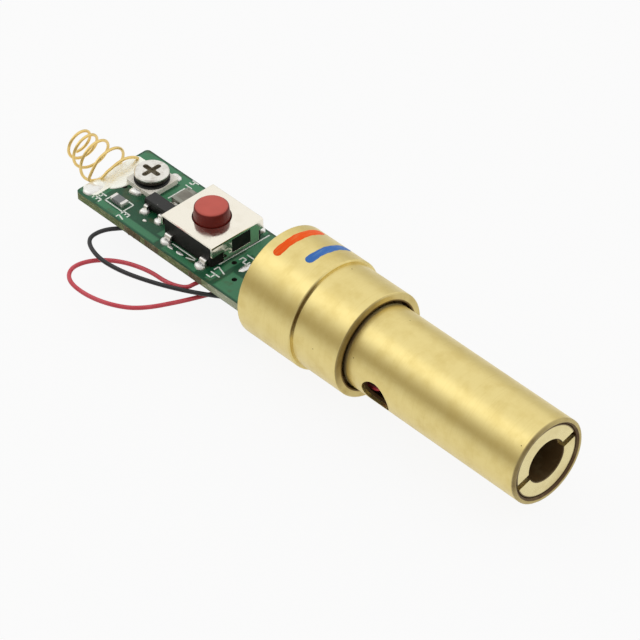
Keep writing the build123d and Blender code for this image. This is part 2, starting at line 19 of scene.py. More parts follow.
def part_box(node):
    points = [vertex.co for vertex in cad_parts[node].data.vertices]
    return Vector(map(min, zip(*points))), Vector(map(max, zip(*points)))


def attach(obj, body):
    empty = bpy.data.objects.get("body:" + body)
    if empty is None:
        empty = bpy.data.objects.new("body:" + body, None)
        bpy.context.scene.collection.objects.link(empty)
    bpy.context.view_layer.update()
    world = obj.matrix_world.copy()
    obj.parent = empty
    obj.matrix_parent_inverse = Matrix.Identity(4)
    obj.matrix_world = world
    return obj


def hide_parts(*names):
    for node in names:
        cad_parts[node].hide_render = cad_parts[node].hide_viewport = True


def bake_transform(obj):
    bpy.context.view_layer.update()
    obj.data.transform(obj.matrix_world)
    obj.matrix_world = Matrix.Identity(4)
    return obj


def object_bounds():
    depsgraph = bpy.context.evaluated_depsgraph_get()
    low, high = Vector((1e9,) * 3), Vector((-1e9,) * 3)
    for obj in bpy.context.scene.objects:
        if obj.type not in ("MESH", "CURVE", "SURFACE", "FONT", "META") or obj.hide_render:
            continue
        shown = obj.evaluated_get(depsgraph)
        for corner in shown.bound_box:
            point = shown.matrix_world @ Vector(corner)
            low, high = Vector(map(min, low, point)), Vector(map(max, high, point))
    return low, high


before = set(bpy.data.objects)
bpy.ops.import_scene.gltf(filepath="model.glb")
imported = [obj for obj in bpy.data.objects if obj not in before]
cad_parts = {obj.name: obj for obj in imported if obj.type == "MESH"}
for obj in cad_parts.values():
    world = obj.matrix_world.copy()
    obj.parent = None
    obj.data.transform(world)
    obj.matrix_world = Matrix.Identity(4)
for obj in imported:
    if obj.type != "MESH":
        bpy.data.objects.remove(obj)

MM = 0.001
TURN = 2.0 * np.pi
WELD = 1e-8
NOISE_MIDDLE = 0.5
BEVEL_SAMPLES = 6
WIRE_SIDES = 14
LOG = logging.getLogger("laser_module")
CAD_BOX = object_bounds()

Colour = tuple[float, float, float]
Place = tuple[float, float, float]
Band = tuple[float, float]
Run = tuple[float, float, float, float]
Setting = Union[float, Sequence[float], "Signal"]


class Body(str, Enum):
    """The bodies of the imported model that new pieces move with."""

    MODULE = "module"
    BUTTON = "button"
    LENS = "lens"


class Side(Enum):
    """The two faces of the circuit board."""

    TOP = 1.0
    UNDER = -1.0


class Numeral(Enum):
    """Plain figures, as strokes through the corners of a box one wide and two high."""

    ONE = (((0.5, 0.0), (0.5, 2.0)),)
    TWO = (((0.0, 2.0), (1.0, 2.0), (1.0, 1.0), (0.0, 1.0), (0.0, 0.0), (1.0, 0.0)),)
    THREE = (((0.0, 2.0), (1.0, 2.0), (1.0, 0.0), (0.0, 0.0)), ((0.2, 1.0), (1.0, 1.0)))
    FOUR = (((0.0, 2.0), (0.0, 1.0), (1.0, 1.0)), ((1.0, 2.0), (1.0, 0.0)))
    SEVEN = (((0.0, 2.0), (1.0, 2.0), (0.4, 0.0)),)


class Signal:
    """A value that changes over a surface: wraps a socket, so that arithmetic on it adds Math nodes."""

    def __init__(self, sheet: "NodeSheet", socket: bpy.types.NodeSocket) -> None:
        """Keeps the socket and the sheet that it is on."""
        self.sheet = sheet
        self.socket = socket

    def output(self, name: str) -> "Signal":
        """Another output of the same node."""
        return Signal(self.sheet, self.socket.node.outputs[name])

    def math(self, operation: str, first: Setting, second: Setting) -> "Signal":
        """A Math node on two values."""
        return self.sheet.add("ShaderNodeMath", {"operation": operation}, {0: first, 1: second})

    def __add__(self, other: Setting) -> "Signal":
        """Self plus other."""
        return self.math("ADD", self, other)

    __radd__ = __add__

    def __sub__(self, other: Setting) -> "Signal":
        """Self less other."""
        return self.math("SUBTRACT", self, other)

    def __rsub__(self, other: Setting) -> "Signal":
        """Other less self."""
        return self.math("SUBTRACT", other, self)

    def __mul__(self, other: Setting) -> "Signal":
        """Self times other."""
        return self.math("MULTIPLY", self, other)

    __rmul__ = __mul__

    def __gt__(self, other: Setting) -> "Signal":
        """One where self is above other, and zero elsewhere."""
        return self.math("GREATER_THAN", self, other)

    def __lt__(self, other: Setting) -> "Signal":
        """One where self is below other, and zero elsewhere."""
        return self.math("LESS_THAN", self, other)

    def __abs__(self) -> "Signal":
        """The size of self without its sign."""
        return self.math("ABSOLUTE", self, 0.0)

    def most(self, other: Setting) -> "Signal":
        """The larger of self and other."""
        return self.math("MAXIMUM", self, other)

    def ease(self, low: float, high: float) -> "Signal":
        """Self as a smooth step from zero at low to one at high."""
        settings = {"interpolation_type": "SMOOTHSTEP"}
        return self.sheet.add("ShaderNodeMapRange", settings, {0: self, 1: low, 2: high, 3: 0.0, 4: 1.0})


class NodeSheet:
    """The nodes of one finish, of the floor or of the light all round."""

    def __init__(self, tree: bpy.types.NodeTree) -> None:
        """Starts on an empty sheet."""
        tree.nodes.clear()
        self.tree = tree

    def add(
        self,
        kind: str,
        settings: Optional[Mapping[str, Any]] = None,
        sockets: Optional[Mapping[Union[int, str], Any]] = None,
        output: Union[int, str] = 0,
    ) -> Signal:
        """Adds a node of any kind.

        Args:
            kind: the node's type.
            settings: its properties, which are set first.
            sockets: the value of each socket, or the signal that is linked to it.
            output: the output that is wanted.

        Returns:
            That output, as a signal.
        """
        node = self.tree.nodes.new(kind)
        for name, value in (settings or {}).items():
            setattr(node, name, value)
        for key, value in (sockets or {}).items():
            self.fill(node.inputs[key], value)
        return Signal(self, node.outputs[output] if len(node.outputs) else None)

    def fill(self, socket: bpy.types.NodeSocket, value: Any) -> None:
        """Links a signal to a socket, or sets its value.

        Args:
            socket: the socket.
            value: a signal, a number, or the numbers of a colour or vector.
        """
        if isinstance(value, Signal):
            self.tree.links.new(value.socket, socket)
        elif socket.type == "RGBA":
            socket.default_value = (*value[:3], 1.0)
        else:
            socket.default_value = value

    def blend(self, share: Setting, low: Any, high: Any) -> Signal:
        """The colour low where share is zero and high where it is one."""
        return self.add("ShaderNodeMix", {"data_type": "RGBA"}, {0: share, 6: low, 7: high}, output=2)

    def along(self, direction: Signal, axis: Place) -> Signal:
        """How far a unit direction points along an axis.

        Args:
            direction: the direction.
            axis: the axis, of any length.

        Returns:
            The cosine of the angle between them.
        """
        settings = {"operation": "DOT_PRODUCT"}
        unit = tuple(np.array(axis) / np.linalg.norm(axis))
        return self.add("ShaderNodeVectorMath", settings, {0: direction, 1: unit}, output="Value")


class Surface(NodeSheet):
    """The nodes of a material round one Principled shader, with places on the piece in millimetres."""

    def __init__(self, material: bpy.types.Material) -> None:
        """Adds the shader, the material's output and the place on the piece.

        Args:
            material: the material that is to be filled.
        """
        material.use_nodes = True
        super().__init__(material.node_tree)
        shader = self.add("ShaderNodeBsdfPrincipled", output="BSDF")
        self.shader = shader.socket.node
        self.add("ShaderNodeOutputMaterial", sockets={"Surface": shader})
        metres = self.add("ShaderNodeTexCoord", output="Object")
        settings = {"operation": "SCALE"}
        self.place = self.add("ShaderNodeVectorMath", settings, {"Vector": metres, "Scale": 1.0 / MM})

    def axes(self) -> tuple[Signal, Signal, Signal]:
        """The three parts of the place on the piece."""
        split = self.add("ShaderNodeSeparateXYZ", sockets={0: self.place}, output="X")
        return split, split.output("Y"), split.output("Z")

    def noise(self, per_mm: Union[float, Place], detail: float = 2.0, roughness: float = 0.5) -> Signal:
        """Smooth noise about one half.

        Args:
            per_mm: how often it changes in a millimetre, the same all ways or for each axis.
            detail: how many finer layers it has.
            roughness: how strong the finer layers are.

        Returns:
            The noise.
        """
        scale = per_mm if isinstance(per_mm, tuple) else (per_mm,) * 3
        settings = {"operation": "MULTIPLY"}
        stretched = self.add("ShaderNodeVectorMath", settings, {0: self.place, 1: scale})
        sockets = {"Vector": stretched, "Scale": 1.0, "Detail": detail, "Roughness": roughness}
        return self.add("ShaderNodeTexNoise", None, sockets)

    def specks(self, per_mm: float, reach: float, share: float) -> Signal:
        """Small round specks, scattered with no order.

        Args:
            per_mm: how many cells there are in a millimetre.
            reach: a speck's radius as a part of its cell.
            share: the part of the cells that hold one.

        Returns:
            One inside the specks and zero elsewhere.
        """
        cell = self.add("ShaderNodeTexVoronoi", None, {"Vector": self.place, "Scale": per_mm}, output="Distance")
        lot = self.add("ShaderNodeSeparateColor", None, {0: cell.output("Color")}, output="Red")
        return (1.0 - cell.ease(reach * 0.5, reach)) * (lot > 1.0 - share)

    def bump(self, height: Setting, depth: float, edge: float = 0.0) -> Signal:
        """A normal that follows a height.

        Args:
            height: the height, from zero to one.
            depth: how many millimetres a height of one is.
            edge: the radius that sharp edges are softened to, in millimetres.

        Returns:
            The normal.
        """
        sockets: dict[str, Any] = {"Height": height, "Distance": depth * MM, "Strength": 1.0}
        if edge:
            sockets["Normal"] = self.add("ShaderNodeBevel", {"samples": BEVEL_SAMPLES}, {"Radius": edge * MM})
        return self.add("ShaderNodeBump", None, sockets)

    def dress(self, sockets: Mapping[str, Any]) -> None:
        """Sets or links sockets of the shader.

        Args:
            sockets: each socket's value or signal, by the socket's name.
        """
        for name, value in sockets.items():
            self.fill(self.shader.inputs[name], value)


@dataclass(frozen=True)
class Finish:
    """What a surface is made of. Each kind of finish says how its own nodes go."""

    name: str

    def material(self) -> bpy.types.Material:
        """The finish as a Blender material, made when it is first asked for.

        Returns:
            The material.
        """
        label = f"dressed_{self.name}"
        made = bpy.data.materials.get(label)
        if made is None:
            made = bpy.data.materials.new(label)
            self.shade(Surface(made))
        return made

    def shade(self, surface: Surface) -> None:
        """Adds the nodes of this kind of finish to a surface."""
        raise NotImplementedError(self.name)


@dataclass(frozen=True)
class ShadeRing:
    """A ring of painted shade round turned brass, at steps, rims and gaps, darkest on the upper near side.

    The place is along the axis, and the least and most shares are those on the lighter and the darker side. Clear and
    thick are the cosines of the angles from the darkest place at which the painted shade starts and is complete.
    """

    place: float
    half_width: float
    radius: float
    least: float
    most: float
    clear: float = 0.35
    thick: float = 0.95


@dataclass(frozen=True)
class TurnedBrass(Finish):
    """Brass off a lathe, with rings from the tool, clouded tarnish, a few pits, and painted shade with some dirt.

    The painted shade and dirt lie in the shade rings, inside the bore's radius, outside the rim's radius and, by a
    share, behind the open end.
    """

    tone: Colour = (0.86, 0.71, 0.30)
    tarnish: Colour = (0.72, 0.56, 0.19)
    pit: Colour = (0.20, 0.13, 0.04)
    dirt_and_shade: Colour = (0.165, 0.088, 0.008)
    roughness: float = 0.35
    ring_noise: Place = (7.0, 0.3, 0.3)
    ring_depth: float = 0.003
    ring_band: Band = (0.52, 0.80)
    ring_share: float = 0.35
    cloud_band: Band = (0.40, 0.72)
    cloud_share: float = 0.55
    pit_share: float = 0.85
    edge: float = 0.05
    shade_rings: tuple[ShadeRing, ...] = ()
    dirt_and_shade_least: float = 0.68
    dirt_and_shade_cloud: float = 0.6
    shade_up: float = 0.62
    shade_near: float = 0.79
    bore: float = 0.0
    bore_fade: float = 1.02
    rim: float = 100.0
    rim_fade: float = 1.04
    open_end: float = -100.0
    open_fade: float = 0.25
    open_share: float = 1.0

    def shaded_and_dirty(self, surface: Surface) -> Signal:
        """Where the painted shade and dirt lie.

        Args:
            surface: the surface that it is on.

        Returns:
            One in the painted shade and dirt and zero elsewhere.
        """
        x, y, z = surface.axes()
        spread = y * y + z * z
        inside = 1.0 - spread.ease(self.bore ** 2, (self.bore_fade * self.bore) ** 2 + 0.01)
        share = inside.most(spread.ease(self.rim ** 2, (self.rim_fade * self.rim) ** 2))
        # painted shade: each ring is darkest towards the upper near side
        toward = z * self.shade_up - y * self.shade_near
        for ring in self.shade_rings:
            near = toward.ease(ring.clear * ring.radius, ring.thick * ring.radius)
            band = 1.0 - abs(x - ring.place).ease(0.5 * ring.half_width, ring.half_width)
            share = share.most(band * (ring.least + near * (ring.most - ring.least)))
        return share.most((1.0 - x.ease(self.open_end - self.open_fade, self.open_end)) * self.open_share)

    def shade(self, surface: Surface) -> None:
        """Rings are noise drawn out round the axis; tarnish, pits, painted shade and dirt change the tone and the
        gloss.

        Args:
            surface: the surface that gets the nodes.
        """
        rings = surface.noise(self.ring_noise, detail=4.0, roughness=0.6)
        cloud = surface.noise(0.55, detail=5.0, roughness=0.62)
        pits = surface.specks(per_mm=1.1, reach=0.09, share=0.07)
        # painted shade, with some dirt, darkens the brass in hollows, gaps and rings
        dirt_and_shade = self.shaded_and_dirty(surface) * (self.dirt_and_shade_least + cloud * self.dirt_and_shade_cloud)
        tone = surface.blend(cloud.ease(*self.cloud_band) * self.cloud_share, self.tone, self.tarnish)
        tone = surface.blend(rings.ease(*self.ring_band) * self.ring_share, tone, self.tarnish)
        tone = surface.blend(pits * self.pit_share, tone, self.pit)
        dulling = (cloud - NOISE_MIDDLE) * 0.16 + (rings - NOISE_MIDDLE) * 0.10 + pits * 0.3 + dirt_and_shade * 0.2
        surface.dress({
            "Base Color": surface.blend(dirt_and_shade, tone, self.dirt_and_shade),
            "Metallic": 1.0 - dirt_and_shade * 0.7,
            "Roughness": self.roughness + dulling,
            "Normal": surface.bump(rings - pits * 0.6 + cloud * 0.8, self.ring_depth, self.edge),
        })


@dataclass(frozen=True)
class SheetMetal(Finish):
    """Plated or tinned metal, with a fine grain along one axis and dull finger marks."""

    tone: Colour = (0.86, 0.83, 0.76)
    stain: Colour = (0.62, 0.56, 0.46)
    stain_band: Band = (0.45, 0.75)
    stain_share: float = 0.3
    roughness: float = 0.2
    grain: Place = (3.0, 3.0, 3.0)
    grain_depth: float = 0.001
    edge: float = 0.04

    def shade(self, surface: Surface) -> None:
        """The grain is drawn-out noise, and the marks are broad noise that dulls the tone and the gloss.

        Args:
            surface: the surface that gets the nodes.
        """
        grain = surface.noise(self.grain, detail=3.0)
        marks = surface.noise(0.8, detail=4.0, roughness=0.6).ease(*self.stain_band)
        surface.dress({
            "Base Color": surface.blend(marks * self.stain_share, self.tone, self.stain),
            "Metallic": 1.0,
            "Roughness": self.roughness + marks * 0.12 + (grain - NOISE_MIDDLE) * 0.10,
            "Normal": surface.bump(grain, self.grain_depth, self.edge),
        })


@dataclass(frozen=True)
class DialSteel(Finish):
    """A stamped steel dial: bright and scuffed above a level, with painted shade below and a painted lit floor in the
    cross.

    The cross's floor is a height, and it lies within a reach of the dial's middle.
    """

    tone: Colour = (0.86, 0.84, 0.78)
    scuff: Colour = (0.52, 0.47, 0.40)
    scuff_band: Band = (0.42, 0.75)
    scuff_share: float = 0.7
    scuff_depth: float = 0.01
    painted_shade: Colour = (0.034, 0.024, 0.015)
    painted_shade_fade: float = 0.04
    lit_floor: Colour = (0.24, 0.20, 0.12)
    roughness: float = 0.24
    level: float = 0.0
    middle: tuple[float, float] = (0.0, 0.0)
    cross_reach: float = 1.1
    cross_floor: float = 0.0
    floor_slack: float = 0.03
    edge: float = 0.05

    def shade(self, surface: Surface) -> None:
        """Scuffs are broad noise on top; painted shade, broken by the same noise, fills all that is lower but the lit
        floor.

        Args:
            surface: the surface that gets the nodes.
        """
        x, y, height = surface.axes()
        from_x, from_y = x - self.middle[0], y - self.middle[1]
        inside = from_x * from_x + from_y * from_y < self.cross_reach ** 2
        floor = inside * (height < self.cross_floor + self.floor_slack)
        scuffs = surface.noise(1.8, detail=4.0, roughness=0.6)
        # painted shade: the side wall and the walls of the cross, below the level, turn near-black brown
        painted_shade = (1.0 - height.ease(self.level - self.painted_shade_fade, self.level)) * (0.75 + scuffs * 0.5)
        tone = surface.blend(scuffs.ease(*self.scuff_band) * self.scuff_share, self.tone, self.scuff)
        surface.dress({
            # the cross's floor gets a lighter tone, painted as lit
            "Base Color": surface.blend(floor * scuffs, surface.blend(painted_shade, tone, self.painted_shade), self.lit_floor),
            "Metallic": 1.0 - painted_shade * 0.8 + floor * 0.3,
            "Roughness": self.roughness + scuffs * 0.15 + painted_shade * 0.25,
            "Normal": surface.bump(scuffs, self.scuff_depth, self.edge),
        })


@dataclass(frozen=True)
class Solder(Finish):
    """Set solder: bright lumps with a skin of fine wrinkles, and brown flux in places."""

    tone: Colour = (0.93, 0.92, 0.88)
    flux: Colour = (0.46, 0.36, 0.20)
    flux_band: Band = (0.52, 0.72)
    flux_share: float = 0.25
    roughness: float = 0.36
    metal: float = 0.85
    lump_depth: float = 0.05

    def shade(self, surface: Surface) -> None:
        """Lumps and wrinkles are two sizes of noise, and flux is a third that also takes the metal away.

        Args:
            surface: the surface that gets the nodes.
        """
        lumps = surface.noise(2.2, detail=2.0)
        wrinkles = surface.noise(9.0, detail=3.0)
        flux = surface.noise(1.3, detail=3.0).ease(*self.flux_band) * self.flux_share
        surface.dress({
            "Base Color": surface.blend(flux, self.tone, self.flux),
            "Metallic": self.metal - flux * self.metal * 0.5,
            "Roughness": self.roughness + (wrinkles - NOISE_MIDDLE) * 0.2 + flux * 0.15,
            "Normal": surface.bump(lumps + wrinkles * 0.12, self.lump_depth),
        })


@dataclass(frozen=True)
class Moulded(Finish):
    """Moulded plastic or fired clay: a fine matt skin, slight clouding, specks of dust, and a paler top above a height.
    """

    tone: Colour = (0.03, 0.03, 0.03)
    cloud: Colour = (0.06, 0.055, 0.05)
    cloud_band: Band = (0.40, 0.70)
    cloud_share: float = 0.6
    dust: Colour = (0.5, 0.48, 0.44)
    dust_share: float = 0.06
    dust_cover: float = 0.7
    paler_top: Colour = (0.10, 0.10, 0.10)
    paler_above: float = 100.0
    paler_fade: float = 0.08
    roughness: float = 0.4
    shine: float = 0.5
    skin_depth: float = 0.004
    edge: float = 0.05

    def shade(self, surface: Surface) -> None:
        """Skin and clouding are two sizes of noise; dust is a scatter of small specks; the paler top starts at a
        height.

        Args:
            surface: the surface that gets the nodes.
        """
        skin = surface.noise(14.0, detail=2.0)
        clouds = surface.noise(0.9, detail=4.0)
        dust = surface.specks(per_mm=3.2, reach=0.16, share=self.dust_share)
        # paler above a height; on the button this is painted light, the top lit and the sides in shade
        paler_top_share = surface.axes()[2].ease(self.paler_above - self.paler_fade, self.paler_above) * (0.8 + clouds * 0.3)
        tone = surface.blend(clouds.ease(*self.cloud_band) * self.cloud_share, self.tone, self.cloud)
        tone = surface.blend(paler_top_share, tone, self.paler_top)
        surface.dress({
            "Base Color": surface.blend(dust * self.dust_cover, tone, self.dust),
            "Roughness": self.roughness + (skin - NOISE_MIDDLE) * 0.12 + clouds * 0.08 + dust * 0.2,
            "Specular IOR Level": self.shine,
            "Normal": surface.bump(skin, self.skin_depth, self.edge),
        })


@dataclass(frozen=True)
class SolderMask(Finish):
    """Green lacquer over copper tracks and woven glass, with bare glass at the cut edges and painted shade in the
    holes.

    The edges are palest past the end of the bare stretch. The half width and the rear tell them from the holes. A
    track is its lowest and highest x, then its lowest and highest y.
    """

    lacquer: Colour = (0.006, 0.076, 0.030)
    over_copper: Colour = (0.056, 0.240, 0.112)
    copper_share: float = 0.85
    cloud_band: Band = (0.45, 0.75)
    cloud_share: float = 0.3
    flux: Colour = (0.075, 0.085, 0.034)
    flux_band: Band = (0.55, 0.72)
    flux_share: float = 0.6
    edge_tone: Colour = (0.15, 0.20, 0.075)
    edge_pale: Colour = (0.40, 0.43, 0.22)
    edge_bare: Colour = (0.75, 0.78, 0.62)
    bare_stretch: Band = (-18.5, -14.5)
    fibre_band: Band = (0.45, 0.65)
    fibre_share: float = 0.8
    hole_shade: Colour = (0.030, 0.026, 0.014)
    half_width: float = 0.0
    rear: float = 0.0
    top: float = 0.0
    under: float = 0.0
    film: float = 0.03
    gap: float = 0.11
    roughness: float = 0.34
    shine: float = 0.35
    relief: float = 0.03
    tracks: tuple[Run, ...] = (
        (-28.2, -24.9, 0.4, 4.05), (-33.9, -31.9, -3.9, 4.05), (-32.0, -28.0, 2.9, 4.05), (-31.6, -23.9, -4.05, -3.35),
        (-24.6, -17.9, 3.5, 4.05), (-24.6, -24.0, -3.0, 3.8), (-17.6, -9.0, 1.0, 4.05), (-17.4, -16.75, -3.9, 1.2),
        (-16.2, -9.0, -4.05, -1.7), (-22.9, -18.6, -4.05, -3.45))

    def track(self, x: Signal, y: Signal, run: Run) -> Signal:
        """One straight track or pour.

        Args:
            x: the place along the board.
            y: the place across the board.
            run: the lowest and highest x, then the lowest and highest y.

        Returns:
            One on the copper, easing to zero over the gap at its rim.
        """
        x_low, x_high, y_low, y_high = run
        from_x = abs(x - 0.5 * (x_low + x_high)) - 0.5 * (x_high - x_low)
        from_y = abs(y - 0.5 * (y_low + y_high)) - 0.5 * (y_high - y_low)
        return 1.0 - from_x.most(from_y).ease(-self.gap, self.gap)

    def shade(self, surface: Surface) -> None:
        """Copper shows as paler, raised green; the weave, flux and edge fibres are noise.

        Args:
            surface: the surface that gets the nodes.
        """
        x, y, z = surface.axes()
        copper = reduce(Signal.most, [self.track(x, y, run) for run in self.tracks])
        weave = surface.noise((5.0, 5.0, 0.5), detail=1.0)
        cloud = surface.noise(0.5, detail=4.0)
        flux = surface.noise(0.8, detail=3.0).ease(*self.flux_band) * self.flux_share
        fibre = surface.noise((2.0, 2.0, 16.0), detail=3.0).ease(*self.fibre_band)
        face = surface.blend(copper * self.copper_share, self.lacquer, self.over_copper)
        face = surface.blend(cloud.ease(*self.cloud_band) * self.cloud_share, face, self.over_copper)
        face = surface.blend(flux, face, self.flux)
        rim = (z < self.top - self.film) * (z > self.under + self.film)
        edge = surface.blend(fibre * self.fibre_share, self.edge_tone, self.edge_pale)
        edge = surface.blend(x.ease(*self.bare_stretch) * (0.5 + fibre * 0.5), edge, self.edge_bare)
        # painted shade: the walls of holes inside the board turn near black
        outer = (abs(y) > self.half_width - self.gap).most(x < self.rear + self.gap)
        edge = surface.blend(outer, self.hole_shade, edge)
        surface.dress({
            "Base Color": surface.blend(rim, face, edge),
            "Roughness": self.roughness + rim * 0.40 + (weave - NOISE_MIDDLE) * 0.08 + flux * 0.12,
            "Specular IOR Level": self.shine,
            "Normal": surface.bump(copper * 0.8 + weave * 0.10 * (1.0 - rim) + fibre * rim, self.relief),
        })


@dataclass(frozen=True)
class Ink(Finish):
    """A film of paint or silk-screen ink, thin in places."""

    tone: Colour = (0.88, 0.91, 0.84)
    thin: Colour = (0.42, 0.53, 0.44)
    thin_band: Band = (0.48, 0.72)
    thin_share: float = 0.6
    streaks: Place = (6.0, 6.0, 6.0)
    roughness: float = 0.45
    shine: float = 0.2
    depth: float = 0.006

    def shade(self, surface: Surface) -> None:
        """Thin places are drawn-out noise that lets the tone below through and dulls the gloss.

        Args:
            surface: the surface that gets the nodes.
        """
        streak = surface.noise(self.streaks, detail=3.0).ease(*self.thin_band)
        surface.dress({
            "Base Color": surface.blend(streak * self.thin_share, self.tone, self.thin),
            "Roughness": self.roughness + streak * 0.15,
            "Specular IOR Level": self.shine,
            "Normal": surface.bump(streak, self.depth),
        })


@dataclass(frozen=True)
class ClearGlass(Finish):
    """Moulded glass with a thin bloom on it."""

    tint: Colour = (0.97, 0.95, 0.92)
    bloom: Colour = (0.9, 0.9, 0.86)
    bloom_band: Band = (0.4, 0.8)
    bloom_share: float = 0.3
    roughness: float = 0.03
    bend: float = 1.5

    def shade(self, surface: Surface) -> None:
        """The bloom is broad noise in the tone and the roughness.

        Args:
            surface: the surface that gets the nodes.
        """
        bloom = surface.noise(1.6, detail=3.0)
        surface.dress({
            "Base Color": surface.blend(bloom.ease(*self.bloom_band) * self.bloom_share, self.tint, self.bloom),
            "Roughness": self.roughness + bloom * 0.05,
            "IOR": self.bend,
            "Transmission Weight": 1.0,
        })


# Painted shade, with some dirt: the collar's step, mouth and bore, the barrel's root, tip and bore, and the nozzle's
# slots, hole and outer rim
COLLAR_BRASS = TurnedBrass("collar_brass", bore=4.34, shade_rings=(
    ShadeRing(-5.24, 0.15, radius=5.15, least=0.04, most=0.95, clear=0.80, thick=0.97),
    ShadeRing(0.0, 0.12, radius=4.65, least=0.22, most=0.72)))
BARREL_BRASS = TurnedBrass("barrel_brass", dirt_and_shade=(0.105, 0.052, 0.016), bore=3.64, shade_rings=(
    ShadeRing(19.75, 0.40, radius=3.85, least=0.40, most=0.72), ShadeRing(-0.1, 0.45, radius=4.0, least=0.5, most=0.9)))
NOZZLE_BRASS = TurnedBrass("nozzle_brass", tone=(0.85, 0.74, 0.39), tarnish=(0.66, 0.53, 0.23), roughness=0.28,
                           dirt_and_shade=(0.130, 0.075, 0.025), bore=2.04, rim=3.25, open_end=19.42, open_share=0.4)
HOLDER_BRASS = TurnedBrass("holder_brass")
COVER_STEEL = SheetMetal("rolled_cover_steel", tone=(0.95, 0.90, 0.78), stain=(0.84, 0.77, 0.63),
                         roughness=0.12, grain=(1.0, 9.0, 9.0))
SPRING_STEEL = SheetMetal("spring_steel", tone=(0.66, 0.65, 0.62), roughness=0.24)
SPRING_GOLD = SheetMetal("gold_washed_wire", tone=(0.90, 0.66, 0.25), stain=(0.66, 0.46, 0.15), roughness=0.22)
LEAD_GOLD = SheetMetal("gold_plate", tone=(0.83, 0.64, 0.27), stain=(0.60, 0.42, 0.15), roughness=0.2)
TINNED = SheetMetal("tinned_copper", tone=(0.82, 0.80, 0.76), stain=(0.58, 0.52, 0.43), roughness=0.28)
CRYSTAL = SheetMetal("laser_crystal_face", tone=(0.26, 0.26, 0.30), stain=(0.40, 0.34, 0.20), roughness=0.14)
SET_SOLDER = Solder("set_solder")
DULL_TIN = Solder("dull_tin", tone=(0.32, 0.32, 0.27), flux=(0.14, 0.14, 0.11), flux_share=0.8, roughness=0.45)
TINNED_LAND = Solder("tinned_land", tone=(0.99, 0.99, 0.90), flux=(0.97, 0.90, 0.78), flux_share=0.3, roughness=0.40,
                     metal=0.92, lump_depth=0.02)
BLACK_PLASTIC = Moulded("black_plastic", tone=(0.010, 0.009, 0.008), cloud=(0.022, 0.018, 0.016), roughness=0.42,
                        dust_share=0.03, shine=0.22)
CHIP_PLASTIC = Moulded("chip_moulding", tone=(0.006, 0.006, 0.005), cloud=(0.012, 0.011, 0.010), roughness=0.46,
                       paler_top=(0.034, 0.034, 0.033), paler_above=0.0, shine=0.3)
RESISTOR_GREY = Moulded("resistor_glaze", tone=(0.19, 0.195, 0.195), cloud=(0.32, 0.325, 0.31), roughness=0.3)
# painted light: the button's top is painted paler, as lit, and its sides darker, as in shade
BUTTON_RED = Moulded("button_red", tone=(0.15, 0.010, 0.006), cloud=(0.19, 0.014, 0.009), roughness=0.36,
                     paler_top=(0.61, 0.114, 0.086), paler_above=2.62, dust=(0.62, 0.36, 0.32), dust_share=0.08, shine=0.25,
                     edge=0.3)
CREAM_CERAMIC = Moulded("cream_ceramic", tone=(0.95, 0.92, 0.82), cloud=(0.80, 0.72, 0.60), roughness=0.36,
                        dust=(0.32, 0.22, 0.13), dust_share=0.12)
CAPACITOR_CERAMIC = Moulded("capacitor_ceramic", tone=(0.19, 0.175, 0.14), cloud=(0.36, 0.35, 0.28), roughness=0.4,
                            dust_share=0.25)
TORN_GLASS = Moulded("torn_glass_edge", tone=(0.13, 0.10, 0.045), cloud=(0.27, 0.25, 0.16), roughness=0.7,
                     dust_share=0.2, skin_depth=0.05, edge=0.0)
CARBON = Moulded("carbon_track", tone=(0.012, 0.012, 0.012), cloud=(0.03, 0.03, 0.03), roughness=0.5)
RED_JACKET = Moulded("red_jacket", tone=(0.64, 0.055, 0.080), cloud=(0.72, 0.11, 0.14), roughness=0.32,
                     dust=(0.7, 0.4, 0.4), dust_share=0.03, edge=0.0)
BLACK_JACKET = Moulded("black_jacket", tone=(0.014, 0.014, 0.015), cloud=(0.03, 0.03, 0.032), roughness=0.3, edge=0.0)
WHITE_INK = Ink("white_ink")
RED_PAINT = Ink("red_paint", tone=(0.96, 0.105, 0.008), thin=(0.92, 0.22, 0.060), streaks=(9.0, 0.8, 0.8),
                roughness=0.40, shine=0.08)
BLUE_PAINT = Ink("blue_paint", tone=(0.035, 0.155, 0.50), thin=(0.13, 0.30, 0.56), streaks=(9.0, 0.8, 0.8),
                 roughness=0.40)
LENS_GLASS = ClearGlass("lens_glass")
WINDOW_GLASS = ClearGlass("window_glass", tint=(0.94, 0.96, 0.97))


def corners(node: str) -> tuple[np.ndarray, np.ndarray]:
    """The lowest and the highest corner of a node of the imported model, in millimetres."""
    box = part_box(node)
    return np.array(box[0]) / MM, np.array(box[1]) / MM


def around(count: int) -> np.ndarray:
    """Angles evenly once round, as one row."""
    return np.linspace(0.0, TURN, count, endpoint=False)[None, :]


def enter(name: str, data: Any) -> bpy.types.Object:
    """Puts new data into the scene.

    Args:
        name: the object's name.
        data: its mesh, curve, camera or lamp.

    Returns:
        The new object, at the origin.
    """
    entered = bpy.data.objects.new(name, data)
    bpy.context.scene.collection.objects.link(entered)
    return entered


def stand(right: Vector, up: Vector, back: Vector, spot: Vector) -> Matrix:
    """The place of a camera or lamp.

    Args:
        right: the way to its right-hand side.
        up: the way to its upper side.
        back: the way that it looks away from.
        spot: where it is, in metres.

    Returns:
        The matrix with these as its columns.
    """
    return Matrix.Translation(spot) @ Matrix((right, up, back)).transposed().to_4x4()


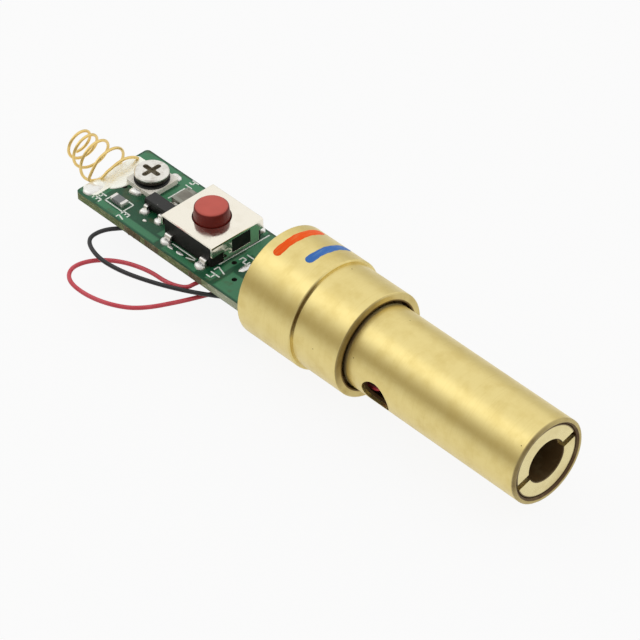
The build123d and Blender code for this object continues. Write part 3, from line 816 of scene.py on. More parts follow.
def skin(name: str, grids: Sequence[np.ndarray], finish: Finish, sharp: float = 50.0) -> bpy.types.Object:
    """Lays closed surfaces over grids of points.

    Each row of a grid is joined to the next and closed round on itself, and a fan from the middle of the first and
    last rows closes the ends.

    Args:
        name: the piece's name.
        grids: points in millimetres, each array of rows by columns by three.
        finish: the finish that the piece gets.
        sharp: the angle, in degrees, above which an edge stays sharp.

    Returns:
        The new object.
    """
    points: list[np.ndarray] = []
    faces: list[list[int]] = []
    start = 0
    for grid in grids:
        rows, columns = grid.shape[:2]
        here = start + np.arange(rows * columns).reshape(rows, columns)
        beside = np.roll(here, -1, axis=1)
        first, last = start + rows * columns, start + rows * columns + 1
        faces += np.stack([here[:-1], beside[:-1], beside[1:], here[1:]], axis=-1).reshape(-1, 4).tolist()
        faces += np.stack([beside[0], here[0], np.full(columns, first)], axis=-1).tolist()
        faces += np.stack([here[-1], beside[-1], np.full(columns, last)], axis=-1).tolist()
        points += [grid.reshape(-1, 3), grid[0].mean(axis=0)[None], grid[-1].mean(axis=0)[None]]
        start += rows * columns + 2
    mesh = bpy.data.meshes.new(name)
    mesh.from_pydata((np.concatenate(points) * MM).tolist(), [], faces)
    shape = bmesh.new()
    shape.from_mesh(mesh)
    bmesh.ops.remove_doubles(shape, verts=shape.verts, dist=WELD)
    bmesh.ops.recalc_face_normals(shape, faces=shape.faces)
    shape.to_mesh(mesh)
    shape.free()
    mesh.shade_smooth()
    mesh.set_sharp_from_angle(angle=np.radians(sharp))
    mesh.materials.append(finish.material())
    return enter(name, mesh)


def settle(piece: bpy.types.Object, body: Body, stands_for: Sequence[str] = ()) -> None:
    """Makes a new piece ride on a body.

    Args:
        piece: the piece.
        body: the body that it moves with.
        stands_for: the nodes that it takes the place of.
    """
    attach(piece, body.value)
    if stands_for:
        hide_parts(*stands_for)
    LOG.info("made %s on %s", piece.name, body.value)


def bridge(piece: bpy.types.Object, ends: tuple[Body, Body],
           stands_for: str) -> None:
    """Bakes a springy piece where it lies between two bodies, and hides the node that it stands for.

    Args:
        piece: the piece.
        ends: the body at its start, then the one at its end, which are only named in the log.
        stands_for: the node that it takes the place of.
    """
    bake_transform(piece)
    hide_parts(stands_for)
    LOG.info("made %s between %s and %s", piece.name, ends[0].value, ends[1].value)


def cover(finishes: Mapping[str, Finish]) -> None:
    """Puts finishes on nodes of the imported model.

    Args:
        finishes: the finish of each node, by the node's name.
    """
    for node, finish in finishes.items():
        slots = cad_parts[node].data.materials
        slots.clear()
        slots.append(finish.material())
        LOG.info("dressed %s in %s", node, finish.name)


def ribbon(path: np.ndarray, width: float, rise: float, sink: float) -> np.ndarray:
    """A low strip along a level path.

    A flat section with rounded shoulders is carried along the path: across it goes the level direction square to
    the path, and up it goes z.

    Args:
        path: the points of the path, as rows of three.
        width: the strip's width.
        rise: how far its top is above the path.
        sink: how far its underside is below the path.

    Returns:
        The grid of points.
    """
    ahead = np.gradient(path, axis=0)
    ahead /= np.linalg.norm(ahead, axis=1, keepdims=True)
    across = np.stack([-ahead[:, 1], ahead[:, 0], np.zeros(len(path))], axis=1)
    shoulder, shoulder_rise = 0.44, 0.4 * rise
    reach = np.array([-0.5, -shoulder, shoulder, 0.5, 0.5, -0.5]) * width
    height = np.array([shoulder_rise, rise, rise, shoulder_rise, -sink, -sink])
    up = np.array([0.0, 0.0, 1.0])
    return path[:, None] + across[:, None] * reach[None, :, None] + up * height[None, :, None]


def smooth(points: np.ndarray, steps: int) -> np.ndarray:
    """A smooth line through points.

    Between each two points goes the cubic whose slope at each end is half the chord between that end's neighbours.

    Args:
        points: the points, as rows of three.
        steps: how many steps go between each two points.

    Returns:
        The points of the line.
    """
    last = len(points) - 1
    spot = np.linspace(0.0, last, last * steps + 1)
    here = np.minimum(spot.astype(int), last - 1)
    u = (spot - here)[:, None]
    start, end = points[here], points[here + 1]
    leave = 0.5 * (end - points[np.maximum(here - 1, 0)])
    reach = 0.5 * (points[np.minimum(here + 2, last)] - start)
    cube = 2.0 * (start - end) + leave + reach
    square = 3.0 * (end - start) - 2.0 * leave - reach
    return ((cube * u + square) * u + leave) * u + start


def tube(path: np.ndarray, diameter: float, aside: np.ndarray) -> np.ndarray:
    """A round wire along a path.

    Row s goes along the path and v goes round it, on the two directions that are square to the path, the first of
    which is also square to the direction aside.

    Args:
        path: the points of the path, as rows of three.
        diameter: the wire's diameter.
        aside: a direction that the path never runs along.

    Returns:
        The grid of points.
    """
    ahead = np.gradient(path, axis=0)
    ahead /= np.linalg.norm(ahead, axis=1, keepdims=True)
    first = np.cross(aside, ahead)
    first /= np.linalg.norm(first, axis=1, keepdims=True)
    second = np.cross(ahead, first)
    v = around(WIRE_SIDES)[..., None]
    return path[:, None] + 0.5 * diameter * (np.cos(v) * first[:, None] + np.sin(v) * second[:, None])


@dataclass(frozen=True)
class Heap:
    """A heap of solder or a raised pad on the board: its middle, half sizes and height, and how round its crown is.

    The rim wavers by a share, sinks into the board, and differs with the turn.
    """

    x: float
    y: float
    half_x: float
    half_y: float
    height: float
    waver: float = 0.07
    turn: float = 0.0
    crown: float = 0.75
    sink: float = 0.03
    rings: int = 10
    columns: int = 32

    def grid(self, base: float, side: Side) -> np.ndarray:
        """A dome over an ellipse with a wavering rim.

        Ring u goes from the rim to the crown and v round it. The reach falls as a power of the cosine of u and the
        height rises as its sine; the rim wavers as a sum of sines of v, and the first ring is sunk.

        Args:
            base: the height of the face that it lies on.
            side: the face of the board.

        Returns:
            The grid of points.
        """
        u = np.linspace(0.0, 0.25 * TURN, self.rings)[:-1, None]
        v = around(self.columns)
        wave = np.sin(2 * v + self.turn) + 0.7 * np.sin(3 * v + 2.3 * self.turn) + 0.4 * np.sin(5 * v - self.turn)
        reach = np.cos(u) ** self.crown * (1.0 + self.waver * wave)
        lift = np.sin(u) * (1.0 + self.waver * np.cos(v + self.turn) * np.cos(u))
        x = self.x + self.half_x * reach * np.cos(v)
        y = self.y + self.half_y * reach * np.sin(v)
        z = base + side.value * self.height * lift + 0.0 * v
        dome = np.stack([x, y, z], axis=-1)
        rim = dome[:1] - np.array([0.0, 0.0, side.value * self.sink])
        return np.concatenate([rim, dome])


@dataclass(frozen=True)
class PaintMark:
    """A painted stripe part of the way round the collar."""

    name: str
    finish: Finish
    from_rear: float
    start: float
    end: float
    width: float = 0.86
    rise: float = 0.02
    sink: float = 0.03
    rows: int = 72
    columns: int = 20


@dataclass
class BrassSleeve:
    """The stepped collar and the barrel in front of it, with two painted stripes on the collar."""

    marks: tuple[PaintMark, ...] = (
        PaintMark("red_stripe", RED_PAINT, from_rear=1.45, start=113.5, end=49.0),
        PaintMark("blue_stripe", BLUE_PAINT, from_rear=4.25, start=101.5, end=43.0),
    )

    def stripe(self, mark: PaintMark) -> np.ndarray:
        """A thin film on the collar.

        Row s goes along the arc, closer together at its ends, and v goes round a flat section. The half width
        follows half a circle at each end, so that both are round, and wavers a little between them.

        Args:
            mark: the stripe.

        Returns:
            The grid of points.
        """
        rear, front = corners("collar")
        radius = 0.5 * (front[2] - rear[2])
        s = 0.5 - 0.5 * np.cos(np.linspace(0.02, 0.5 * TURN - 0.02, mark.rows))[:, None]
        v = around(mark.columns)
        angle = np.radians(mark.start + (mark.end - mark.start) * s)
        run = abs(np.radians(mark.end - mark.start)) * radius
        from_end = np.clip(np.minimum(s, 1.0 - s) * run / (0.5 * mark.width), 0.0, 1.0)
        waver = 1.0 + 0.05 * np.sin(17.0 * s) + 0.03 * np.sin(43.0 * s + 1.0)
        half = 0.5 * mark.width * np.sqrt(1.0 - (1.0 - from_end) ** 2) * waver
        lift = np.where(np.sin(v) > 0.0, mark.rise * np.abs(np.sin(v)) ** 0.5, mark.sink * np.sin(v))
        x = rear[0] + mark.from_rear + half * np.cos(v)
        reach = radius + lift + 0.0 * s
        return np.stack([x, reach * np.cos(angle), reach * np.sin(angle)], axis=-1)

    def build(self) -> None:
        """Dresses the brass and lays the stripes on it."""
        cover({"collar": COLLAR_BRASS, "barrel": BARREL_BRASS})
        for mark in self.marks:
            settle(skin(mark.name, [self.stripe(mark)], mark.finish), Body.MODULE)


@dataclass
class FocusingNose:
    """The slotted nozzle, its lens and spring, and the laser diode behind them."""

    spring_wire: float = 0.3
    spring_turns: float = 3.0
    spring_points: int = 97
    finishes: dict[str, Finish] = field(default_factory=lambda: {
        "lens_nozzle": NOZZLE_BRASS, "collimating_lens": LENS_GLASS, "focus_spring": SPRING_STEEL,
        "diode_holder": HOLDER_BRASS, "laser_chip": CRYSTAL, "diode_window": WINDOW_GLASS,
        **dict.fromkeys(("diode_stem", "diode_cap"), LEAD_GOLD),
        **{f"diode_lead_{pole}": LEAD_GOLD for pole in ("positive", "negative", "case")},
    })

    def coil(self, low: np.ndarray, high: np.ndarray) -> np.ndarray:
        """A round wire along an even helix.

        With share s from 0 to 1, the angle about the beam and the distance along it both grow evenly with s.

        Args:
            low: the lowest corner of the spring.
            high: the highest corner of the spring.

        Returns:
            The grid of points.
        """
        s = np.linspace(0.0, 1.0, self.spring_points)
        angle = TURN * self.spring_turns * s
        radius = 0.5 * (high[1] - low[1] - self.spring_wire)
        x = low[0] + 0.5 * self.spring_wire + (high[0] - low[0] - self.spring_wire) * s
        path = np.column_stack([x, radius * np.cos(angle), radius * np.sin(angle)])
        return tube(path, self.spring_wire, np.array([1.0, 0.0, 0.0]))

    def build(self) -> None:
        """Dresses the parts inside the barrel, and makes the spring anew as a round wire behind the lens."""
        cover(self.finishes)
        low, high = corners("focus_spring")
        piece = skin("focus_spring_wire", [self.coil(low, high)], SPRING_STEEL)
        bridge(piece, (Body.MODULE, Body.LENS), "focus_spring")


@dataclass
class CoilSpring:
    """The battery spring: a tail arched over the board's end, then a leaning cone of turns that close up."""

    wire: float = 0.28
    base_diameter: float = 4.6
    tip_diameter: float = 2.5
    length: float = 4.83
    turns: float = 3.68
    point_count: int = 60
    behind: float = 0.32
    start_angle: float = -150.0
    closing: float = 0.63
    narrowing: float = 0.69
    lean_up: float = 6.2
    lean_far: float = 4.0
    tail: tuple[Place, ...] = (
        (0.62, 2.55, 0.17), (0.57, 2.32, 0.42), (0.55, 1.7, 0.75), (0.55, 1.0, 0.94), (0.55, 0.25, 0.91),
        (0.55, -0.42, 0.75), (0.55, -1.0, 0.6), (0.55, -1.4, 0.37), (0.5, -1.7, 0.2), (0.25, -2.2, 0.17),
        (-0.15, -2.55, 0.24))

    def coil(self) -> np.ndarray:
        """A round wire along the tail and then a leaning cone.

        With share s from 0 to 1 along the cone and t = s (1 - s), the angle grows evenly with s, the diameter goes
        from the base's to the tip's as s + narrowing t, and the distance along the axis grows as s + closing t. The
        tail's points count from the board's rear edge, across it and up from its top.

        Returns:
            The grid of points.
        """
        up, far = np.radians([self.lean_up, self.lean_far])
        axis = np.array([-np.cos(up) * np.cos(far), np.sin(far), np.sin(up) * np.cos(far)])
        level = np.array([np.sin(far) * np.cos(up), np.cos(far), -np.sin(far) * np.sin(up)])
        low, high = corners("circuit_board")
        seat = np.array([low[0] - self.behind, 0.0, 0.5 * (low[2] + high[2])])
        s = np.linspace(0.0, 1.0, self.point_count + 1)[1:, None]
        t = s * (1.0 - s)
        angle = np.radians(self.start_angle + 360.0 * self.turns * s)
        radius = 0.5 * (self.base_diameter + (self.tip_diameter - self.base_diameter) * (s + self.narrowing * t))
        cone = seat + axis * self.length * (s + self.closing * t)
        cone = cone + radius * (np.cos(angle) * level + np.sin(angle) * np.cross(axis, level))
        tail = np.array(self.tail) + [low[0], 0.0, high[2]]
        return tube(smooth(np.concatenate([tail, cone]), steps=5), self.wire, axis)

    def build(self) -> None:
        """Makes the round wire in place of the spring's solid."""
        piece = skin("coiled_spring_wire", [self.coil()], SPRING_GOLD)
        settle(piece, Body.MODULE, ["battery_spring"])


@dataclass(frozen=True)
class Figure:
    """Plain figures printed on the board: what, where their middle is, how tall, and how far they are turned."""

    numerals: tuple[Numeral, ...]
    x: float
    y: float
    height: float = 0.8
    turn: float = 90.0
    pitch: float = 1.6

    def strokes(self) -> list[np.ndarray]:
        """The figures' strokes as straight runs on the board, one pitch from figure to figure.

        Returns:
            The two ends of each run.
        """
        spin = np.radians(self.turn)
        turn = np.array([[np.cos(spin), np.sin(spin)], [-np.sin(spin), np.cos(spin)]])
        middle = [0.5 + 0.5 * self.pitch * (len(self.numerals) - 1), 1.0]
        runs: list[np.ndarray] = []
        for place, numeral in enumerate(self.numerals):
            for stroke in numeral.value:
                flat = (np.array(stroke) + [self.pitch * place, 0.0] - np.array(middle)) * 0.5 * self.height
                ends = (flat @ turn) + [self.x, self.y]
                runs += [ends[step:step + 2] for step in range(len(ends) - 1)]
        return runs


@dataclass(frozen=True)
class TornTab:
    """Torn glass on the board's near edge, where a tab was snapped off: from where to where, and how far out."""

    x_low: float
    x_high: float
    reach: float
    turn: float
    rows: int = 60
    columns: int = 16
    sink: float = 0.04

    def grid(self, low: np.ndarray, high: np.ndarray) -> np.ndarray:
        """A ragged ridge along the edge.

        Row s goes along the edge and v round an oval section as high as the board. The outer half stands out by the
        reach times a sum of sines of s without its sign, which falls to nothing at both ends; the inner half is sunk.

        Args:
            low: the board's lowest corner.
            high: the board's highest corner.

        Returns:
            The grid of points.
        """
        s = np.linspace(0.0, 1.0, self.rows)[:, None]
        v = around(self.columns)
        ragged = np.abs(np.sin(11.0 * s + self.turn) + 0.6 * np.sin(31.0 * s) + 0.3 * np.sin(67.0 * s)) * 0.6 + 0.25
        out = self.reach * ragged * np.sin(0.5 * TURN * s) ** 0.5 + 0.01
        side = np.cos(v)
        y = low[1] - np.where(side > 0.0, out * side, self.sink * side)
        height = 0.42 + 0.05 * np.sin(23.0 * s + self.turn)
        z = 0.5 * (low[2] + high[2]) + height * (high[2] - low[2]) * np.sin(v)
        x = self.x_low + (self.x_high - self.x_low) * s + 0.0 * v
        return np.stack([x, y, z], axis=-1)


@dataclass
class DriverBoard:
    """The circuit board with its small parts, tracks, printed lines and solder."""

    line: float = 0.14
    film: float = 0.012
    toe_length: float = 0.3
    wire_joints: tuple[str, ...] = ("red_solder", "black_solder")
    wire_joint_spread: float = 0.13
    finishes: dict[str, Finish] = field(default_factory=lambda: {
        "spring_solder": TINNED_LAND, "driver_chip": CHIP_PLASTIC, "chip_resistor": RESISTOR_GREY,
        "chip_capacitor": CAPACITOR_CERAMIC,
        **{f"driver_chip_lead_{place}": TINNED for place in (1, 2, 3)},
        **{f"chip_resistor_cap_{end}": TINNED for end in ("rear", "front")},
        **{f"chip_capacitor_cap_{end}": DULL_TIN for end in ("near", "far")},
    })
    lines: tuple[Run, ...] = (
        (-17.8, -1.9, -17.65, 3.9),
        (-22.7, -2.92, -19.7, -2.90),
        (-20.5, -3.35, -19.65, -3.05),
        (-31.3, -3.2, -29.0, -3.2),
        (-31.3, -1.9, -29.0, -1.9),
        (-31.3, -3.2, -31.3, -1.9),
        (-29.0, -3.2, -29.0, -1.9),
        (-27.6, 0.9, -27.6, 2.9),
        (-24.95, 0.9, -24.95, 2.9),
    )
    figures: tuple[Figure, ...] = (
        Figure((Numeral.FOUR, Numeral.SEVEN), -17.05, -2.85, 1.1),
        Figure((Numeral.TWO, Numeral.ONE), -16.6, 0.35, 0.9),
        Figure((Numeral.SEVEN, Numeral.THREE), -28.55, -3.55, 0.75),
        Figure((Numeral.THREE, Numeral.FOUR), -31.98, -3.3, 0.8),
        Figure((Numeral.ONE, Numeral.FOUR), -27.52, 3.6, 0.8),
    )
    heaps: tuple[Heap, ...] = (
        Heap(-26.72, -2.62, 0.20, 0.17, 0.10, turn=0.4),
        Heap(-22.43, -3.40, 0.34, 0.18, 0.07, turn=1.3, crown=0.4),
        Heap(-21.28, -3.36, 0.42, 0.18, 0.07, turn=0.2, crown=0.4),
        Heap(-15.83, -0.60, 0.32, 0.75, 0.10, turn=0.9),
        Heap(-33.20, -2.92, 0.74, 1.18, 0.34, turn=1.7, waver=0.06),
    )
    land: Heap = Heap(-32.35, 0.25, 0.95, 2.15, 0.19, waver=0.04, turn=2.6, crown=0.3)
    torn_tabs: tuple[TornTab, ...] = (
        TornTab(-27.6, -25.5, 0.18, 0.4),
        TornTab(-24.9, -23.1, 0.14, 2.1),
        TornTab(-19.2, -17.5, 0.12, 3.3),
    )

    def toe(self, node: str, outward: float, spread: float, height: float, turn: float) -> Heap:
        """The solder round the toe of a leg or cap.

        Args:
            node: the leg or cap.
            outward: one where the toe points to +y, minus one where it points to -y.
            spread: how far the solder stands out all round.
            height: how high it is above the board.
            turn: what makes its shape differ from the next one's.

        Returns:
            The heap.
        """
        low, high = corners(node)
        tip = high[1] if outward > 0 else low[1]
        half = 0.5 * (high[0] - low[0]) + spread
        return Heap(0.5 * (low[0] + high[0]), tip - self.toe_length * outward, half,
                    self.toe_length + spread, height, turn=turn)

    def joints(self) -> list[Heap]:
        """The solder at each leg of the chip, the switch and the trimmer.

        Returns:
            The heaps.
        """
        legs = (
            ("driver_chip_lead_1", -1.0, 0.22, 0.34),
            ("driver_chip_lead_2", -1.0, 0.24, 0.34),
            ("driver_chip_lead_3", 1.0, 0.20, 0.30),
            ("switch_terminal_near_rear", -1.0, 0.20, 0.36),
            ("switch_terminal_near_front", -1.0, 0.22, 0.36),
            ("switch_terminal_far_rear", 1.0, 0.20, 0.36),
            ("switch_terminal_far_front", 1.0, 0.20, 0.36),
            ("trimmer_terminal_wiper", -1.0, 0.26, 0.38),
            ("trimmer_terminal_start", 1.0, 0.20, 0.34),
            ("trimmer_terminal_end", 1.0, 0.20, 0.34),
            ("chip_capacitor_cap_near", -1.0, 0.14, 0.34),
            ("chip_capacitor_cap_far", 1.0, 0.14, 0.34),
        )
        return [self.toe(node, way, spread, height, 1.0 + 0.8 * place)
                for place, (node, way, spread, height) in enumerate(legs)]

    def wire_joint(self, node: str) -> Heap:
        """The rounded solder over the end of a wire under the board.

        Args:
            node: the solid that it takes the place of.

        Returns:
            The heap.
        """
        low, high = corners(node)
        middle, half = 0.5 * (low + high), 0.5 * (high - low) + self.wire_joint_spread
        return Heap(middle[0], middle[1], half[0], half[1], high[2] - low[2], turn=middle[0])

    def printed(self, top: float) -> list[np.ndarray]:
        """The printed lines and figures, each stroke a low strip on the board.

        Args:
            top: the height of the board's upper face.

        Returns:
            The grids of points.
        """
        strokes = [np.array([[x_a, y_a], [x_b, y_b]]) for x_a, y_a, x_b, y_b in self.lines]
        for figure in self.figures:
            strokes += figure.strokes()
        paths = [np.column_stack([stroke, np.full(2, top)]) for stroke in strokes]
        return [ribbon(path, self.line, self.film, self.film) for path in paths]

    def build(self) -> None:
        """Dresses the board and its parts, lays the ink and the solder on it, and leaves its near edge torn."""
        low, high = corners("circuit_board")
        top = high[2]
        mask = SolderMask("green_solder_mask", top=top, under=low[2], half_width=high[1], rear=low[0])
        cover({"circuit_board": mask, **self.finishes, **dict.fromkeys(self.wire_joints, SET_SOLDER)})
        settle(skin("board_printing", self.printed(top), WHITE_INK), Body.MODULE)
        solder = [heap.grid(top, Side.TOP) for heap in self.heaps]
        settle(skin("board_solder", solder, SET_SOLDER), Body.MODULE)
        settle(skin("tinned_land", [self.land.grid(top, Side.TOP)], TINNED_LAND), Body.MODULE)
        joints = [heap.grid(top, Side.TOP) for heap in self.joints()]
        settle(skin("leg_solder", joints, SET_SOLDER), Body.MODULE)
        for node in self.wire_joints:
            rounded = self.wire_joint(node).grid(low[2], Side.UNDER)
            settle(skin(f"{node}_heap", [rounded], SET_SOLDER), Body.MODULE, [node])
        torn = [tab.grid(low, high) for tab in self.torn_tabs]
        settle(skin("torn_board_edge", torn, TORN_GLASS), Body.MODULE)


@dataclass
class Trimmer:
    """The trimming resistor: a cream base, a carbon ring and a steel dial with a cross."""

    lit_rim: float = 0.2
    cross_depth: float = 0.3
    finishes: dict[str, Finish] = field(default_factory=lambda: {
        "trimmer_base": CREAM_CERAMIC, "trimmer_track": CARBON,
        **{f"trimmer_terminal_{end}": TINNED for end in ("start", "end", "wiper")},
    })

    def build(self) -> None:
        """Dresses the trimmer's parts, with the dial bright only near its top face and painted shade below."""
        low, high = corners("trimmer_rotor")
        middle = 0.5 * (low + high)
        dial = DialSteel("dial_steel", level=high[2] - self.lit_rim, middle=(middle[0], middle[1]),
                         cross_floor=high[2] - self.cross_depth)
        cover({**self.finishes, "trimmer_rotor": dial})


@dataclass
class PushSwitch:
    """The push switch: a black base, a folded steel cover and a red button over a snap dome."""

    dome_crown: float = 1.8
    dome_sheet: float = 0.08
    dome_rows: int = 25
    dome_columns: int = 48
    finishes: dict[str, Finish] = field(default_factory=lambda: {
        "switch_base": BLACK_PLASTIC, "switch_cover": COVER_STEEL, "switch_dome": SPRING_STEEL,
        "switch_button": BUTTON_RED,
        **{f"switch_terminal_{side}_{end}": TINNED for side in ("far", "near") for end in ("rear", "front")},
    })

    def dome(self, low: np.ndarray, high: np.ndarray) -> np.ndarray:
        """A thin shallow cone with a flat crown.

        Row u goes from the crown's underside down to the foot, over its rim and back up to the crown's top, in
        straight runs, and v goes round the middle.

        Args:
            low: the lowest corner of the dome.
            high: the highest corner of the dome.

        Returns:
            The grid of points.
        """
        u = np.linspace(0.0, 3.0, self.dome_rows)[:, None]
        v = around(self.dome_columns)
        crown, foot = 0.5 * self.dome_crown, 0.5 * (high[0] - low[0])
        stops = [0.0, 1.0, 2.0, 3.0]
        reach = np.interp(u, stops, [crown, foot, foot, crown])
        heights = [high[2] - self.dome_sheet, low[2], low[2] + self.dome_sheet, high[2]]
        z = np.interp(u, stops, heights) + 0.0 * v
        middle = 0.5 * (low + high)
        return np.stack([middle[0] + reach * np.cos(v), middle[1] + reach * np.sin(v), z], axis=-1)

    def build(self) -> None:
        """Dresses the switch's parts, and makes the dome anew as a thin sheet under the button."""
        cover(self.finishes)
        low, high = corners("switch_dome")
        piece = skin("snap_dome_sheet", [self.dome(low, high)], SPRING_STEEL)
        bridge(piece, (Body.MODULE, Body.BUTTON), "switch_dome")


@dataclass(frozen=True)
class Wire:
    """One loose wire: its node, finish, slot, length along its middle, and the points that it passes near."""

    node: str
    finish: Finish
    slot: str
    length: float
    route: tuple[Place, ...]


@dataclass
class LooseWires:
    """The two thin wires from under the board to the laser diode, which loop out on the near side."""

    diameter: float = 0.4
    section_steps: int = 4
    point_steps: int = 12
    order: int = 3
    wires: tuple[Wire, ...] = (
        Wire("red_wire", RED_JACKET, "wire_red", 54.5, (
            (-18.0, -2.5, -1.95), (-18.48, -4.09, -2.1), (-18.8, -4.88, -2.4), (-20.64, -5.36, -2.7),
            (-23.33, -5.25, -2.9), (-26.0, -6.06, -3.0), (-27.91, -7.67, -3.05), (-28.57, -9.68, -3.1),
            (-27.34, -11.08, -3.1), (-24.76, -11.21, -3.1), (-22.15, -10.49, -3.05), (-20.05, -9.11, -3.0),
            (-18.3, -5.85, -3.0), (-17.06, -2.64, -3.05), (-15.7, -1.03, -3.15), (-12.3, -1.6, -3.25),
            (-9.5, -1.7, -3.0), (-6.8, -1.9, -2.3), (-4.1, -2.0, -1.6), (-1.8, -2.35, -1.6),
            (0.4, -2.45, -1.95), (1.95, -2.6, -1.85), (2.9, -2.45, -1.55), (3.15, -1.55, -0.55),
            (3.8, -1.0, 0.0), (4.6, -1.0, 0.0))),
        Wire("black_wire", BLACK_JACKET, "wire_black", 41.2, (
            (-27.2, -2.6, -1.95), (-28.33, -3.68, -2.0), (-29.58, -5.24, -2.1), (-29.57, -6.96, -2.2),
            (-27.19, -7.79, -2.3), (-24.43, -7.5, -2.35), (-21.58, -6.64, -2.3), (-19.02, -5.5, -2.3),
            (-16.93, -4.29, -2.3), (-14.74, -2.63, -2.4), (-12.0, -1.5, -2.5), (-9.2, -0.8, -2.45),
            (-6.4, -0.3, -2.1), (-3.8, 0.1, -1.5), (-1.2, 0.6, -0.8), (1.2, 1.0, -0.25),
            (3.0, 1.0, 0.0), (4.6, 1.0, 0.0))),
    )

    def curve(self, wire: Wire) -> bpy.types.Object:
        """A round wire along a smooth spline with the route's points as its control points.

        Args:
            wire: the wire.

        Returns:
            The new curve object.
        """
        line = bpy.data.curves.new(f"{wire.node}_jacket", "CURVE")
        line.dimensions = "3D"
        line.bevel_depth = 0.5 * self.diameter * MM
        line.bevel_resolution = self.section_steps
        line.use_fill_caps = True
        line.resolution_u = self.point_steps
        spline = line.splines.new("NURBS")
        points = np.column_stack([np.array(wire.route) * MM, np.ones(len(wire.route))])
        spline.points.add(len(points) - 1)
        spline.points.foreach_set("co", points.ravel())
        spline.order_u = self.order
        spline.use_endpoint_u = True
        line.materials.append(wire.finish.material())
        return enter(line.name, line)

    def build(self) -> None:
        """Makes each wire in place of its solid."""
        for wire in self.wires:
            piece = self.curve(wire)
            settle(piece, Body.MODULE, [wire.node])


@dataclass(frozen=True)
class DimPatch:
    """A dimmer part of the light all round: the way to its middle, and the tone that the light takes there.

    Start and full are the cosines of the angles from the middle at which it begins and is complete.
    """

    axis: Place
    start: float
    full: float
    tone: Colour


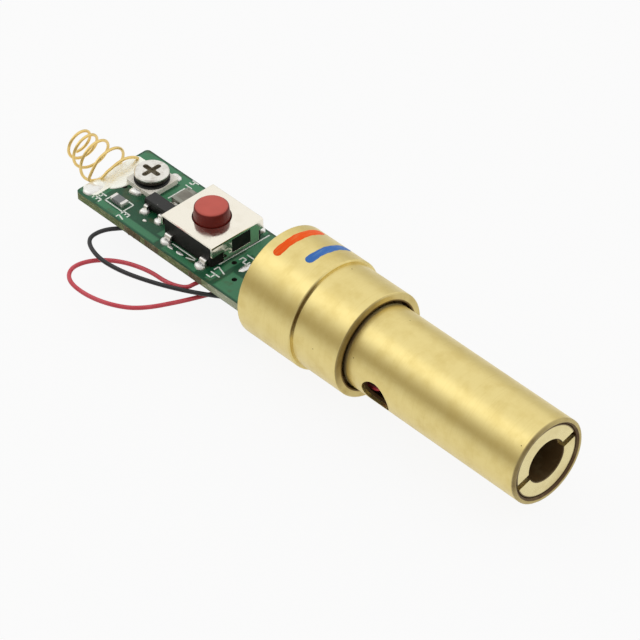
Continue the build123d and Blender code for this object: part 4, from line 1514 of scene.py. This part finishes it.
@dataclass
class Studio:
    """The camera at the photograph's angle, a white floor, soft light all round and one soft lamp."""

    aim: Place = (-5.748, -1.292, 0.0)
    distance: float = 305.342
    azimuth: float = 47.169
    elevation: float = 41.240
    roll: float = -0.8137
    lens: float = 203.632
    sensor: float = 36.0
    clip: float = 10.0
    floor_size: float = 4000.0
    floor_tone: Colour = (0.74, 0.74, 0.74)
    floor_glow: float = 0.90
    mirror_near: float = 0.70
    mirror_far: float = 0.15
    near: float = 12.0
    far: float = 50.0
    ambient: float = 0.94
    shades: tuple[DimPatch, ...] = (
        DimPatch((-0.54, -0.84, 0.0), start=0.80, full=0.99, tone=(0.35, 0.29, 0.17)),
        DimPatch((0.62, -0.76, 0.18), start=0.25, full=0.95, tone=(0.45, 0.44, 0.42)),
        DimPatch((-0.54, 0.84, 0.0), start=0.86, full=0.99, tone=(0.66, 0.64, 0.56)),
    )
    lamp_axis: Place = (-0.54, -0.37, 0.755)
    lamp_distance: float = 600.0
    lamp_size: tuple[float, float] = (520.0, 280.0)
    lamp_radiance: float = 0.42

    def camera(self) -> None:
        """Puts the camera on a line from its aim, with its right-hand side turned a little from level."""
        azimuth, elevation, roll = np.radians([self.azimuth, self.elevation, self.roll])
        back = Vector((np.cos(elevation) * np.sin(azimuth), -np.cos(elevation) * np.cos(azimuth), np.sin(elevation)))
        level = Vector((np.cos(azimuth), np.sin(azimuth), 0.0))
        steep = back.cross(level)
        right = level * np.cos(roll) + steep * np.sin(roll)
        up = back.cross(right)
        eye = (Vector(self.aim) + back * self.distance) * MM
        data = bpy.data.cameras.new("photo_camera")
        data.sensor_width = self.sensor
        data.lens = self.lens
        data.clip_start = self.clip * MM
        camera = enter("photo_camera", data)
        camera.matrix_world = stand(right, up, back, eye)
        bpy.context.scene.camera = camera

    def floor(self) -> None:
        """Lays a white floor under the lowest point, which keeps the shadow and is mirrored dimmer further aside."""
        half, height = 0.5 * self.floor_size, CAD_BOX[0].z / MM
        corners = np.array([[-half, -half, height], [half, -half, height], [half, half, height], [-half, half, height]])
        mesh = bpy.data.meshes.new("floor")
        mesh.from_pydata((corners * MM).tolist(), [], [[0, 1, 2, 3]])
        material = bpy.data.materials.new("floor_white")
        material.use_nodes = True
        sheet = NodeSheet(material.node_tree)
        camera = sheet.add("ShaderNodeLightPath", output="Is Camera Ray")
        mirrored = camera.output("Is Glossy Ray").most(camera.output("Is Transmission Ray"))
        white = sheet.add("ShaderNodeEmission", None, {"Color": (1.0, 1.0, 1.0), "Strength": 1.0})
        matt = sheet.add("ShaderNodeBsdfDiffuse", None, {"Color": self.floor_tone})
        place = sheet.add("ShaderNodeTexCoord", output="Object")
        aside = abs(sheet.add("ShaderNodeSeparateXYZ", None, {0: place}, output="Y"))
        glow = self.mirror_near - aside.ease(self.near * MM, self.far * MM) * (self.mirror_near - self.mirror_far)
        share = (camera * self.floor_glow).most(mirrored * glow)
        mixed = sheet.add("ShaderNodeMixShader", None, {0: share, 1: matt, 2: white})
        sheet.add("ShaderNodeOutputMaterial", None, {"Surface": mixed})
        mesh.materials.append(material)
        floor = enter("floor", mesh)

    def surround(self) -> None:
        """Lights from all round, with less light from the dim patches."""
        world = bpy.data.worlds.new("soft_surround")
        world.use_nodes = True
        bpy.context.scene.world = world
        sheet = NodeSheet(world.node_tree)
        direction = sheet.add("ShaderNodeTexCoord", output="Generated")
        colour: Any = (1.0, 1.0, 1.0)
        for patch in self.shades:
            colour = sheet.blend(sheet.along(direction, patch.axis).ease(patch.start, patch.full), colour, patch.tone)
        light = sheet.add("ShaderNodeBackground", None, {"Color": colour, "Strength": self.ambient})
        sheet.add("ShaderNodeOutputWorld", None, {"Surface": light})

    def lamp(self) -> None:
        """Hangs a soft lamp over the rear near side."""
        axis = Vector(self.lamp_axis).normalized()
        width, depth = self.lamp_size
        data = bpy.data.lights.new("soft_lamp", "AREA")
        data.shape = "RECTANGLE"
        data.size = width * MM
        data.size_y = depth * MM
        data.energy = self.lamp_radiance * np.pi * width * depth * MM * MM
        side = (Vector((1.0, 0.0, 0.0)) - axis * axis.x).normalized()
        lamp = enter("soft_lamp", data)
        lamp.matrix_world = stand(side, axis.cross(side), axis, axis * self.lamp_distance * MM)

    def build(self) -> None:
        """Sets up the camera, the floor and the light, and plain colour."""
        self.camera()
        self.floor()
        self.surround()
        self.lamp()
        bpy.context.scene.view_settings.view_transform = "Standard"


def main() -> None:
    """Builds each sub-assembly in order, then the studio."""
    logging.basicConfig(level=logging.INFO, format="%(message)s")
    LooseWires().build()
    BrassSleeve().build()
    FocusingNose().build()
    CoilSpring().build()
    DriverBoard().build()
    Trimmer().build()
    PushSwitch().build()
    Studio().build()


if __name__ == "__main__":
    main()
